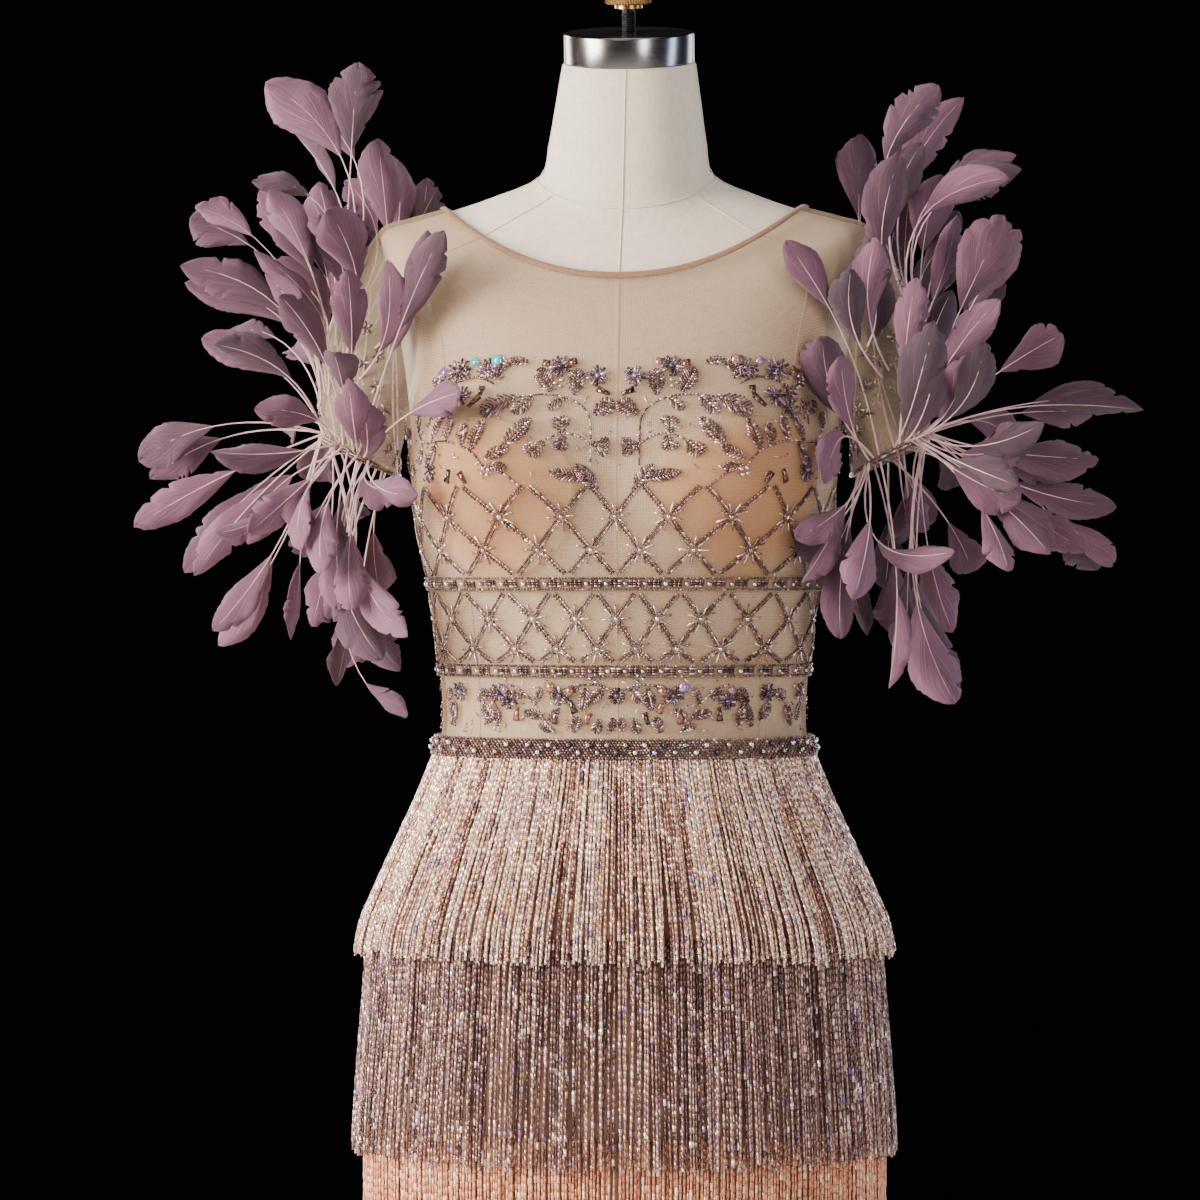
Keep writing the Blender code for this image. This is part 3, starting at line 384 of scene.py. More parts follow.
def linen_finish(colour):
    """Unbleached linen, plain woven and drawn smooth: matt, with thick and thin threads that catch light."""
    made, tree, shader = new_finish("Unbleached linen", Roughness=0.88, Sheen_Weight=0.15)
    slub = threads(tree, 1.1 * MM, 0.12 * MM, shader)
    tint(tree, shader, slub, ((0.25, "#D2C6B4"), (0.5, colour), (0.75, "#E2D8C9")))
    return made


def net_finish(name, colour, cover):
    """Nylon stretch net: sheer, so what lies under it shows through its small holes. They are drawn 1.6 mm
    apart, coarser than the real 0.5 mm, which would not show."""
    made, tree, shader = new_finish(name, Roughness=0.75, Sheen_Weight=0.25, Sheen_Roughness=0.4)
    shader.inputs["Base Color"].default_value = linear(colour)
    place = add_node(tree, "ShaderNodeUVMap", {"uv_map": "metres"})
    mesh = {"Vector": place.outputs["UV"], "Scale": 1 / (1.6 * MM), "Randomness": 0.35}
    cells = add_node(tree, "ShaderNodeTexVoronoi", {"feature": "DISTANCE_TO_EDGE"}, mesh)
    thread = {"Value": cells.outputs["Distance"], "From Min": 0.05, "From Max": 0.3}
    thread.update({"To Min": cover + 0.1, "To Max": cover})
    add_node(tree, "ShaderNodeMapRange", inputs=thread, to=shader.inputs["Alpha"])
    return made


def cloth_finish(name, colour, dark, pitch, roughness, sheen):
    """Plain woven dress cloth, with its threads as a fine bump and a little unevenness of dye."""
    made, tree, shader = new_finish(name, Roughness=roughness, Sheen_Weight=sheen, Sheen_Roughness=0.35)
    slub = threads(tree, pitch, 0.06 * MM, shader, 0.4)
    tint(tree, shader, slub, ((0.3, dark), (0.6, colour)))
    return made


def cup_finish(colour):
    """Brushed tricot over a moulded cup, which thins to a pale edge."""
    made, tree, shader = new_finish("Brushed tricot", Roughness=0.9, Sheen_Weight=0.35, Sheen_Roughness=0.35)
    slub = threads(tree, 0.9 * MM, 0.06 * MM, shader, 0.4)
    place = add_node(tree, "ShaderNodeUVMap", {"uv_map": "metres"})
    middle = {0: place.outputs["UV"], 1: (CUP_CUT / 2, CUP_CUT / 2, 0)}
    away = add_node(tree, "ShaderNodeVectorMath", {"operation": "DISTANCE"}, middle).outputs["Value"]
    # Metres from the cup's middle
    steps = ((0.052, colour), (0.068, "#CBA07A"), (0.08, "#CDB49A"), (0.095, "#D0C0AC"))
    tint(tree, shader, compute(tree, "MULTIPLY_ADD", slub, 0.02, away), steps)
    return made


def glass_finish(name, steps, roughness, metallic, coat=0.6):
    """Silver-lined glass beads: the lining mirrors light through tinted glass, each bead its own shade."""
    made, tree, shader = new_finish(
        name, Roughness=roughness, Metallic=metallic, Coat_Weight=coat, Coat_Roughness=0.06
    )
    shade = add_node(tree, "ShaderNodeAttribute", {"attribute_name": "shade"})
    tint(tree, shader, shade.outputs["Fac"], steps)
    return made


# The beads' glass by colour: its name, roughness, metallic lining, coat and shades from dark to light
BEAD_GLASS = {
    "rose": (
        "Mauve-rose bugle",
        0.2,
        0.6,
        0.6,
        ((0.0, "#35242A"), (0.4, "#745459"), (0.8, "#A37F80"), (1.0, "#EBCFC6")),
    ),
    "plum": ("Purple seed bead", 0.14, 0.5, 0.6, ((0.0, "#261830"), (0.6, "#55405F"), (1.0, "#9880A6"))),
    "dusk": ("Taupe bugle", 0.2, 0.6, 0.6, ((0.0, "#35231F"), (0.7, "#6B4A42"), (1.0, "#A07C6C"))),
    "umber": ("Brown stone", 0.1, 0.3, 1.0, ((0.0, "#2C120D"), (0.6, "#5C3026"), (1.0, "#96604E"))),
    "crystal": (
        "Foiled crystal",
        0.06,
        0.95,
        1.0,
        ((0.0, "#8E8A92"), (0.5, "#D9D5DC"), (0.85, "#FFFFFF"), (1.0, "#CFE6F2")),
    ),
    "clear": ("Clear bugle", 0.12, 0.6, 1.0, ((0.0, "#8C685C"), (0.6, "#C69C8C"), (1.0, "#F8E4D8"))),
    # Square sequins are copper and lilac. The aqua at the top of their shades is a painted iridescent flash.
    "sequin": (
        "Square sequin",
        0.2,
        0.4,
        1.0,
        ((0.0, "#5E342A"), (0.6, "#9A6A58"), (0.8, "#8E78A4"), (0.9, "#2FB4BC"), (1.0, "#52D2D6")),
    ),
}
BEADS = {}


def bead_finishes():
    """The beads' finishes by colour, made once."""
    if not BEADS:
        for colour, (name, roughness, metallic, coat, steps) in BEAD_GLASS.items():
            BEADS[colour] = glass_finish(name, steps, roughness, metallic, coat)
    return BEADS


def vane_finish(colour):
    """A dyed feather's vane: fine barbs slant from the shaft to a soft uneven edge. They are drawn about
    1 mm apart, coarser than the real 0.3 mm, which would not show."""
    made, tree, shader = new_finish(
        "Dyed feather vane",
        Roughness=0.75,
        Sheen_Weight=0.2,
        Sheen_Roughness=0.5,
        Sheen_Tint=linear("#E6C4D2"),
    )
    place = add_node(tree, "ShaderNodeUVMap", {"uv_map": "vane"})
    split = add_node(tree, "ShaderNodeSeparateXYZ", inputs={0: place.outputs["UV"]})
    off, up = split.outputs["X"], split.outputs["Y"]
    slant = compute(tree, "MULTIPLY_ADD", compute(tree, "ABSOLUTE", off), -0.7, up)
    across = add_node(tree, "ShaderNodeCombineXYZ", inputs={"X": slant, "Y": off})
    spacing = {"Vector": across.outputs[0], "Scale": (60.0, 1.2, 1.0)}
    spaced = add_node(tree, "ShaderNodeMapping", inputs=spacing)
    streaks = {"Vector": spaced.outputs[0], "Scale": 1.0, "Detail": 2.0, "Roughness": 0.6}
    barbs = add_node(tree, "ShaderNodeTexNoise", inputs=streaks).outputs["Fac"]
    emboss(tree, shader, barbs, 0.8 * MM, 1.0)
    # The shade attribute is each feather's tone. It holds painted shade: feathers behind the sleeve and those
    # on the left sleeve are darker.
    shade = add_node(tree, "ShaderNodeAttribute", {"attribute_name": "shade"})
    steps = ((0.12, "#301C2A"), (0.5, colour), (0.8, "#906680"), (1.0, "#B996B4"))
    tint(tree, shader, compute(tree, "ADD", barbs, shade.outputs["Fac"]), steps)
    return made


def steel_finish():
    """Brushed steel: fine lines round the rim spread each reflection up and down. They are drawn 0.4 mm
    apart, coarser than the real 0.1 mm, which would not show."""
    made, tree, shader = new_finish("Brushed steel", Roughness=0.3, Metallic=1.0)
    shader.inputs["Base Color"].default_value = linear("#8E8D90")
    place = add_node(tree, "ShaderNodeTexCoord")
    stretched = {"Vector": place.outputs["Object"], "Scale": (8.0, 8.0, 2600.0)}
    drawn = add_node(tree, "ShaderNodeMapping", inputs=stretched)
    grain = {"Vector": drawn.outputs[0], "Scale": 1.0, "Detail": 3.0}
    lines = add_node(tree, "ShaderNodeTexNoise", inputs=grain)
    rough = {"Value": lines.outputs["Fac"], "To Min": 0.16, "To Max": 0.28}
    add_node(tree, "ShaderNodeMapRange", inputs=rough, to=shader.inputs["Roughness"])
    emboss(tree, shader, lines.outputs["Fac"], 0.02 * MM, 0.35)
    return made


def hard_finish(name, colour, worn, roughness, metallic):
    """Cast or turned metal, or a stripped quill: smooth, with faint mottling 7 mm across, as handling or
    scraping leaves it."""
    made, tree, shader = new_finish(name, Roughness=roughness, Metallic=metallic)
    place = add_node(tree, "ShaderNodeTexCoord")
    spread = {"Vector": place.outputs["Object"], "Scale": 140.0, "Detail": 4.0}
    spots = add_node(tree, "ShaderNodeTexNoise", inputs=spread).outputs["Fac"]
    tint(tree, shader, spots, ((0.35, worn), (0.65, colour)))
    rough = {"Value": spots, "To Min": roughness - 0.08, "To Max": roughness + 0.12}
    add_node(tree, "ShaderNodeMapRange", inputs=rough, to=shader.inputs["Roughness"])
    return made


# Shapes of the form and of the cloth over it


def catmull(a, b, c, d, share):
    """A smooth value between b and c, where a and d lie on either side of them."""
    return 0.5 * (
        2 * b + (c - a) * share + (2 * a - 5 * b + 4 * c - d) * share**2 + (3 * b - a - 3 * c + d) * share**3
    )


def section_at(table, row):
    """The sizes of a table of sections at a row, whole or between two."""
    last = len(table) - 1
    lower = min(max(int(row), 0), last - 1)
    near = [table[min(max(lower + step, 0), last)] for step in (-1, 0, 1, 2)]
    return [catmull(*values, row - lower) for values in zip(*near)]


def row_at_height(table, height):
    """The row whose first column, a height, is this one."""
    low, high = 0.0, len(table) - 1.0
    for _ in range(30):
        middle = (low + high) / 2
        if section_at(table, middle)[0] < height:
            low = middle
        else:
            high = middle
    return low


def oval(turn, half_width, front, back):
    """A point of a rounded section: turn is 0 at the front and a right angle at +X."""
    side, ahead = math.sin(turn), math.cos(turn)
    depth = front if ahead > 0 else back
    x = half_width * math.copysign(abs(side) ** SQUARENESS, side)
    y = -depth * math.copysign(abs(ahead) ** SQUARENESS, ahead)
    return x, y


def form_point(turn, row):
    """A point on the dress form. Turn runs from -pi to pi, and row is a place in the table of sections."""
    side_z, front_z, back_z, half_width, front, back, lean, bend = section_at(SECTIONS, row)
    ahead = math.cos(turn)
    end_z = front_z if ahead > 0 else back_z
    x, y = oval(turn, half_width, front, back)
    z = side_z + (end_z - side_z) * abs(ahead) ** bend
    across = (abs(turn) - BUST_TURN) / BUST_HALF_TURN
    up = row - BUST_ROW
    up /= BUST_ROWS_UP if up > 0 else BUST_ROWS_DOWN
    rise = BUST_RISE * math.exp(-(across**2) - up**2)
    shift = NECK_SHIFT * max(0.0, (row - ROW["neckline"]) / (ROW["neck_top"] - ROW["neckline"]))
    return Vector((x + shift + rise * math.sin(turn), y + lean - rise * math.cos(turn), z))


def over_form(turn, row, out):
    """A point this far outside the form."""
    step = 1e-3
    around = form_point(turn + step, row) - form_point(turn - step, row)
    up = form_point(turn, row + step) - form_point(turn, row - step)
    return form_point(turn, row) + around.cross(up).normalized() * out


def net_point(turn, row, out=0.0):
    """A point of the bodice's net, on its inner side or this far out of it."""
    across = (abs(turn) - CUP_TURN) / CUP_HALF_TURN
    up = (row - CUP_ROW) / CUP_HALF_ROWS
    room = CUP_ROOM * math.exp(-((across**2 + up**2) ** 2) / 3)
    return over_form(turn, row, EASE + room + out)


def armhole_turn(row):
    """How far the armhole reaches round from the side at this row."""
    return ARM_HALF_TURN * math.sqrt(max(0.0, 1 - ((row - ARM_MIDDLE) / ARM_HALF_ROWS) ** 2))


def turn_at_back(row):
    """The turn of the left edge of the opening at the centre back, at this row."""
    half_width = section_at(SECTIONS, row)[3]
    return math.pi - math.asin((BACK_OPENING / half_width) ** (1 / SQUARENESS))


SKIRT_LEVELS = {}


def skirt_section(height):
    """The underskirt's half width and depths at a height, kept for each half millimetre."""
    level = round(height / (0.5 * MM))
    if level not in SKIRT_LEVELS:
        SKIRT_LEVELS[level] = section_at(SKIRT_SECTIONS, row_at_height(SKIRT_SECTIONS, height))[1:]
    return SKIRT_LEVELS[level]


def skirt_point(turn, height, out=0.0):
    """A point of the underskirt's outer side, or this far out of it, level with height."""
    half_width, front, back = skirt_section(height)
    x, y = oval(turn, half_width + out, front + out, back + out)
    return Vector((x, y, height))


def sleeve_point(around, down, side, out=0.0):
    """A point of a sleeve. Around is 0 on top, a quarter in front and a half under the arm."""
    angle = 2 * math.pi * around
    top, ahead = math.cos(angle), math.sin(angle)
    edge = net_point(math.pi / 2 - ARM_HALF_TURN * ahead, ARM_MIDDLE + ARM_HALF_ROWS * top, NET_WALL)
    heart = net_point(math.pi / 2, ARM_MIDDLE, NET_WALL)
    start = edge + (heart - edge).normalized() * 0.6 * MM
    hem = HEM_CENTRE + Vector(((HEM_HALF_WIDTH + out) * top, -(HEM_HALF_DEPTH + out) * ahead, HEM_RISE * top))
    puff = SLEEVE_PUFF * 4 * down * (1 - down) * (0.55 + 0.45 * top)
    place = start.lerp(hem, down) + Vector((puff, 0, 0))
    return Vector((side * place.x, place.y, place.z))


# Making pieces


def shaped_grid(bm, columns, rows, point_at, size=(1.0, 1.0), layer="metres"):
    """A grid bent to shape, where point_at gives a point from the shares across and up. Its UV map is
    the flat grid at its real size."""
    made = bmesh.ops.create_grid(bm, x_segments=columns, y_segments=rows, size=0.5)
    uv = bm.loops.layers.uv.get(layer) or bm.loops.layers.uv.new(layer)
    faces = {face for vert in made["verts"] for face in vert.link_faces}
    for face in faces:
        for loop in face.loops:
            flat = loop.vert.co
            loop[uv].uv = ((flat.x + 0.5) * size[0], (flat.y + 0.5) * size[1])
    for vert in made["verts"]:
        vert.co = point_at(vert.co.x + 0.5, vert.co.y + 0.5)
    return made["verts"]


def weld(bm, near=WELD):
    """Merges points that lie together, as at a closed seam or a pole."""
    bmesh.ops.remove_doubles(bm, verts=bm.verts[:], dist=near)


def close_ends(bm):
    """Fills what is open and turns every face outwards."""
    bmesh.ops.holes_fill(bm, edges=[edge for edge in bm.edges if edge.is_boundary], sides=0)
    bmesh.ops.recalc_face_normals(bm, faces=bm.faces[:])


def to_mesh(name, bm):
    """A bmesh as a mesh."""
    mesh = bpy.data.meshes.new(name)
    bm.to_mesh(mesh)
    bm.free()
    return mesh


def add_piece(name, bm, finish, body=BODY, replaces=(), slot=None):
    """An object of the model from a bmesh, riding on a body and standing for the nodes it replaces."""
    return add_mesh(name, to_mesh(name, bm), finish, body, replaces)


def add_mesh(name, mesh, finish, body=BODY, replaces=(), smooth=True):
    """An object of the model from a mesh, riding on a body and standing for the nodes it replaces."""
    mesh.materials.clear()
    mesh.materials.append(finish)
    if smooth:
        mesh.shade_smooth()
        mesh.set_sharp_from_angle(angle=math.radians(40))
    made = bpy.data.objects.new(name, mesh)
    bpy.context.scene.collection.objects.link(made)
    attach(made, body)
    if replaces:
        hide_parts(*replaces)
    return made


def thicken(piece, wall, offset=1.0):
    """Gives a cloth piece its wall."""
    shell = piece.modifiers.new("Wall", "SOLIDIFY")
    shell.thickness = wall
    shell.offset = offset


def add_cloth(name, point_at, columns, rows, size, wall, finish, replaces=(), slot=None, joined=False):
    """A cloth piece: a shaped grid with a thin wall, joined where its sides meet."""
    bm = bmesh.new()
    shaped_grid(bm, columns, rows, point_at, size)
    if joined:
        weld(bm)
    made = add_piece(name, bm, finish, replaces=replaces, slot=slot)
    thicken(made, wall)
    return made


def open_line(bm, points):
    """A line of edges through points, with its corners."""
    corners = [bm.verts.new(point) for point in points]
    return corners + [bm.edges.new(pair) for pair in zip(corners, corners[1:])]


def turned(profile, steps):
    """A profile of radius and height spun round its axis."""
    bm = bmesh.new()
    line = open_line(bm, [(radius, 0.0, height) for radius, height in profile])
    turn = 2 * math.pi
    bmesh.ops.spin(bm, geom=line, cent=(0, 0, 0), axis=(0, 0, 1), angle=turn, steps=steps, use_merge=True)
    weld(bm)
    return bm


def add_seated(name, bm, seat, finish, **ways):
    """A turned piece put in its seat, with its faces outwards."""
    bmesh.ops.recalc_face_normals(bm, faces=bm.faces[:])
    bmesh.ops.transform(bm, matrix=seat, verts=bm.verts[:])
    return add_piece(name, bm, finish, **ways)


def add_turned(name, profile, seat, finish, replaces, steps=96):
    """A piece turned from a profile."""
    return add_seated(name, turned(profile, steps), seat, finish, replaces=replaces)


def add_tubes(name, paths, finish):
    """Tapering tubes: each path is a list of points with the tube's radius there."""
    curve = bpy.data.curves.new(name, "CURVE")
    curve.dimensions = "3D"
    curve.bevel_depth = 1.0
    curve.bevel_resolution = 1
    curve.use_fill_caps = True
    for path in paths:
        spline = curve.splines.new("POLY")
        spline.points.add(len(path) - 1)
        for point, (place, radius) in zip(spline.points, path):
            point.co = (*place, 1.0)
            point.radius = radius
    holder = bpy.data.objects.new(name + "_path", curve)
    bpy.context.scene.collection.objects.link(holder)
    seen = holder.evaluated_get(bpy.context.evaluated_depsgraph_get())
    mesh = bpy.data.meshes.new_from_object(seen)
    bpy.data.objects.remove(holder)
    bm = bmesh.new()
    bm.from_mesh(mesh)
    weld(bm, WELD / 10)
    return add_piece(name, bm, finish)


# Beads and how they are sewn


def bead_shape(kind):
    """A bead's shape, its length along X and its outer side up Z: 1 mm long, wide and high."""
    bm = bmesh.new()
    if kind in ("bugle", "round_bugle"):
        sides, radius = (3, 0.5) if kind == "bugle" else (4, 0.52)
        bmesh.ops.create_cone(bm, cap_ends=True, segments=sides, radius1=radius, radius2=radius, depth=1.0)
        bmesh.ops.rotate(bm, cent=(0, 0, 0), matrix=Matrix.Rotation(math.pi / 2, 3, "Y"), verts=bm.verts[:])
    elif kind == "seed":
        bmesh.ops.create_uvsphere(bm, u_segments=4, v_segments=3, radius=0.52)
    elif kind == "crystal":
        bmesh.ops.create_cone(bm, cap_ends=True, segments=8, radius1=0.5, radius2=0.26, depth=0.6)
        bmesh.ops.translate(bm, vec=(0, 0, 0.3), verts=bm.verts[:])
    else:
        bmesh.ops.create_cube(bm, size=1.0)
        if kind == "baguette":
            for vert in bm.verts:
                vert.co.y *= (0.5 if vert.co.x < 0 else 1.0) * (0.8 if vert.co.z > 0 else 1.0)
    bmesh.ops.triangulate(bm, faces=bm.faces[:])
    return to_mesh(kind, bm)


def put(centre, along, out, length, wide, high):
    """Where a bead lies: its middle, its direction, its outer side and its three sizes."""
    ahead = along.normalized()
    side = out.cross(ahead).normalized()
    up = ahead.cross(side)
    turn = Matrix((ahead * length, side * wide, up * high)).transposed()
    return Matrix.Translation(centre) @ turn.to_4x4()


def join_beads(name, kind, places, shades, finish, replaces=()):
    """One mesh of beads of a kind, with each bead's shade as an attribute."""
    shape = bead_shape(kind)
    points = np.array([vert.co[:] for vert in shape.vertices])
    corners = np.array([face.vertices[:] for face in shape.polygons])
    matrices = np.array([np.array(place) for place in places])
    moved = np.einsum("kij,nj->kni", matrices[:, :3, :3], points) + matrices[:, None, :3, 3]
    faces = corners[None] + (np.arange(len(places)) * len(points))[:, None, None]
    mesh = bpy.data.meshes.new(name)
    mesh.vertices.add(moved.shape[0] * moved.shape[1])
    mesh.vertices.foreach_set("co", moved.ravel())
    mesh.loops.add(faces.size)
    mesh.loops.foreach_set("vertex_index", faces.ravel())
    mesh.polygons.add(faces.size // 3)
    mesh.polygons.foreach_set("loop_start", np.arange(0, faces.size, 3))
    mesh.update(calc_edges=True)
    attribute = mesh.attributes.new("shade", "FLOAT", "POINT")
    attribute.data.foreach_set("value", np.repeat(np.array(shades), len(points)))
    bpy.data.meshes.remove(shape)
    return add_mesh(name, mesh, finish, replaces=replaces, smooth=False)


class Shell:
    """The net's outer side, which beads are sewn to, met from afar."""

    # Well outside the dress, in metres
    far = 0.6

    def __init__(self):
        bm = bmesh.new()
        low, high = ROW["low_waist"], ROW["neckline"]

        def point_at(across, up):
            return net_point(math.pi * (2 * across - 1), low + (high - low) * up, NET_THICKNESS)

        shaped_grid(bm, 144, 90, point_at)
        bm.normal_update()
        self.tree = BVHTree.FromBMesh(bm)
        bm.free()

    def meet(self, start, away):
        """The point met from start against this direction, and the direction out of the cloth there."""
        point, normal, _, _ = self.tree.ray_cast(start, -away)
        return point, normal if normal.dot(away) > 0 else -normal

    def at(self, heading, height):
        """The point at a heading round the body and a height."""
        away = Vector((math.sin(heading), -math.cos(heading), 0))
        return self.meet(away * self.far + Vector((0, 0, height)), away)

    def facing(self, across, height, behind):
        """The point seen from straight ahead, or from behind, this far across and this high."""
        away = Vector((0, 1 if behind else -1, 0))
        return self.meet(away * self.far + Vector((across, 0, height)), away)


class Sewing:
    """Beads sewn to a shell, in millimetres across and up from a place on it."""

    def __init__(self, shell, seed, lift=0.0):
        self.shell = shell
        self.lift = lift
        self.draw = random.Random(seed)
        self.beads = {}
        self.move(0.0, 1.2)

    def move(self, heading, height, turned=0.0, flip=1):
        """Sets the place and the angle from which the next beads are measured."""
        self.heading, self.height, self.turned, self.flip = heading, height, turned, flip
        point, _ = self.shell.at(heading, height)
        self.radius = Vector((point.x, point.y)).length

    def face(self, across, height, turned, flip, behind=False):
        """Sets the place to what is seen this many millimetres across and up, from ahead or behind."""
        point, _ = self.shell.facing(flip * across * MM, height * MM, behind)
        self.move(math.atan2(point.x, -point.y), height * MM, turned, -flip if behind else flip)

    def trail(self, kind, colour, path, length, wide, flip, behind=False, gap=0.3):
        """Beads end to end along a smooth stem through places in millimetres across and up."""
        span = sum(math.dist(*pair) for pair in zip(path, path[1:]))
        count = round(span / (length + gap))
        places = [Vector(place) for place in path]
        met = []
        for k in range(count + 1):
            across, height = through(places, k / count)
            met.append(self.shell.facing(flip * across * MM, height * MM, behind))
        for (low, out), (high, _) in zip(met, met[1:]):
            centre, along = (low + high) / 2 + out * wide / 2 * MM, high - low
            self.keep(kind, colour, put(centre, along, out, along.length * 0.9, wide * MM, wide * MM))

    def spot(self, across, up):
        """The point and the outward direction at these millimetres from the place."""
        cos, sin = math.cos(self.turned), math.sin(self.turned)
        u = (across * cos - up * sin) * self.flip * MM
        v = (across * sin + up * cos) * MM
        point, out = self.shell.at(self.heading + u / self.radius, self.height + v)
        return point + out * self.lift, out

    def sew(self, kind, colour, start, stop, wide, high, lift=0.5):
        """A bead from start to stop, as millimetres across and up."""
        first, _ = self.spot(*start)
        last, _ = self.spot(*stop)
        middle = ((start[0] + stop[0]) / 2, (start[1] + stop[1]) / 2)
        centre, out = self.spot(*middle)
        length = (last - first).length
        if length < 1e-6:
            return
        centre += out * high * lift * MM
        self.keep(kind, colour, put(centre, last - first, out, length, wide * MM, high * MM))

    def keep(self, kind, colour, place):
        """Counts a bead in, with a shade drawn for it."""
        self.beads.setdefault((kind, colour), []).append((place, self.draw.random()))

    def dot(self, kind, colour, at, wide, high=None, lift=0.5):
        """A round bead at a place."""
        self.sew(kind, colour, (at[0] - wide / 2, at[1]), (at[0] + wide / 2, at[1]), wide, high or wide, lift)

    def line(self, kind, colour, start, stop, length, wide, gap=0.35):
        """A row of beads from start to stop."""
        span = math.dist(start, stop)
        count = max(1, round(span / (length + gap)))
        for k in range(count):
            low, high = k / count + gap / 2 / span, (k + 1) / count - gap / 2 / span
            ends = [[a + (b - a) * share for a, b in zip(start, stop)] for share in (low, high)]
            self.sew(kind, colour, *ends, wide, wide)

    def finish(self, name, kinds):
        """One piece for each kind and colour of bead sewn, named for what it is."""
        for (kind, colour), beads in sorted(self.beads.items()):
            places, shades = zip(*beads)
            join_beads(f"{name}_{colour}_{kind}", kind, places, shades, kinds[colour])


def polar(reach, angle):
    """A place this far from the middle of a figure, at an angle."""
    return reach * math.cos(angle), reach * math.sin(angle)


def sew_star(sewing, heading, height, spokes, inner, outer):
    """A star: a crystal with clear bugles round it and a seed between each two. Like all the figures of
    the beading, it has its sizes in millimetres."""
    sewing.move(heading, height, sewing.draw.uniform(0, math.pi))
    sewing.dot("crystal", "crystal", (0, 0), 4.0, 3.0, 0.1)
    for k in range(spokes):
        angle = 2 * math.pi * k / spokes
        sewing.sew("round_bugle", "clear", polar(inner, angle), polar(outer, angle), 1.45, 1.45)
        sewing.dot("seed", "dusk", polar(inner + 0.4, angle + math.pi / spokes), 1.5)


def sew_leaf(sewing, length, wide, colour="rose"):
    """A leaf at the place, filled with bugles that slant from its middle vein."""
    sewing.line("round_bugle", "dusk", (0, 0), (0, length), 2.4, 1.1)
    steps = max(3, round(length / 2.1))
    for k in range(steps):
        share = (k + 0.35) / steps
        half = wide / 2 * math.sin(math.pi * share**0.75) ** 0.8
        for side in (-1, 1):
            start = (side * 0.6, length * share)
            stop = (side * (0.6 + half), length * share + half * 0.75)
            sewing.line("round_bugle", colour, start, stop, 3.6, 1.45, 0.2)


def sew_flower(sewing, petals, reach):
    """A flower: a purple stone in petals of paired beads, with a seed between each two."""
    sewing.dot("crystal", "plum", (0, 0), 4.2, 3.4, 0.1)
    for k in range(petals):
        angle = 2 * math.pi * k / petals
        for fan, colour in ((-0.24, "plum"), (0.24, "rose")):
            sewing.sew("round_bugle", colour, polar(2.4, angle + fan), polar(reach, angle + fan), 2.0, 1.6)
        sewing.dot("seed", "dusk", polar(reach * 0.7, angle + math.pi / petals), 1.7)


def sew_crystals(sewing, count):
    """A cluster of crystals with seeds round them."""
    for k in range(count):
        angle = 2 * math.pi * k / count
        sewing.dot("crystal", "crystal", polar(2.5, angle), 3.2, 2.6, 0.1)
        sewing.dot("seed", "rose", polar(4.6, angle + math.pi / count), 1.6)


def sew_stone(sewing, length):
    """A tapered brown stone, narrower at its foot."""
    sewing.sew("baguette", "umber", (0, 0), (0, 1.1 * length), 5.4, 1.4)


def sew_square(sewing, size):
    """A square sequin that lies a little askew on its stitches."""
    sewing.sew("square", "sequin", (-0.65 * size, 0), (0.65 * size, 0), 1.3 * size, 0.6, 2.2)


def sew_figure(sewing, kind, size, more):
    """One figure of the beading at the place, by name."""
    if kind == "leaf":
        sew_leaf(sewing, size, more)
    elif kind == "flower":
        sew_flower(sewing, size, more)
    elif kind == "crystals":
        sew_crystals(sewing, size)
    elif kind == "stone":
        sew_stone(sewing, size)
    elif kind == "square":
        sew_square(sewing, size)
    else:
        sewing.sew("round_bugle", "clear", (-size / 2, 0), (size / 2, 0), 1.4, 1.4)


def lattice_point(index, row, rows, count):
    """The heading and height of a node of the diamond lattice, each row shifted half a diamond."""
    return 2 * math.pi * (index + (row % 2) / 2) / count, rows[row]


def sew_lattice(sewing, rows, count, stars):
    """Diamonds of double bead rows between the nodes, with a star at each node that has one."""
    for row in range(len(rows) - 1):
        for index in range(count):
            start = lattice_point(index, row, rows, count)
            for shift in ((0, -1) if row % 2 == 0 else (0, 1)):
                stop = lattice_point(index + shift, row + 1, rows, count)
                sewing.move(start[0], start[1])
                far = ((stop[0] - start[0]) * sewing.radius / MM, (stop[1] - start[1]) / MM)
                size = math.hypot(*far)
                along = (far[0] / size, far[1] / size)
                for side, colour in ((-1.0, "rose"), (1.0, "dusk")):
                    u, v = -along[1] * side, along[0] * side
                    ends = [(along[0] * place + u, along[1] * place + v) for place in (2.6, size - 2.6)]
                    sewing.line("round_bugle", colour, *ends, 2.2, 1.6, 0.25)
    for row in stars:
        for index in range(count):
            sew_star(sewing, *lattice_point(index, row, rows, count), 8, 3.2, 10.2)


def sew_band(sewing, low, high, crystals):
    """A band: a line of seeds along each edge, bugles laid along its middle and crystals between them."""
    middle = (low + high) / 2
    sewing.move(0.0, middle)
    around = 2 * math.pi * sewing.radius / MM
    for height in (low + 0.8 * MM, high - 0.8 * MM):
        count = round(around / 1.9)
        for k in range(count):
            sewing.move(2 * math.pi * k / count, height)
            sewing.dot("seed", sewing.draw.choice(("rose", "dusk", "dusk")), (0, 0), 1.9)
    for k in range(crystals):
        heading = 2 * math.pi * (k + 0.5) / crystals
        sewing.move(heading, middle)
        sewing.dot("crystal", "crystal", (0, 0), 4.0, 3.4, 0.2)
        half = around / crystals / 2
        for up in (-1.8, 0.0, 1.8):
            sewing.line("round_bugle", "rose" if up else "dusk", (2.2, up), (2 * half - 2.2, up), 3.2, 1.6)


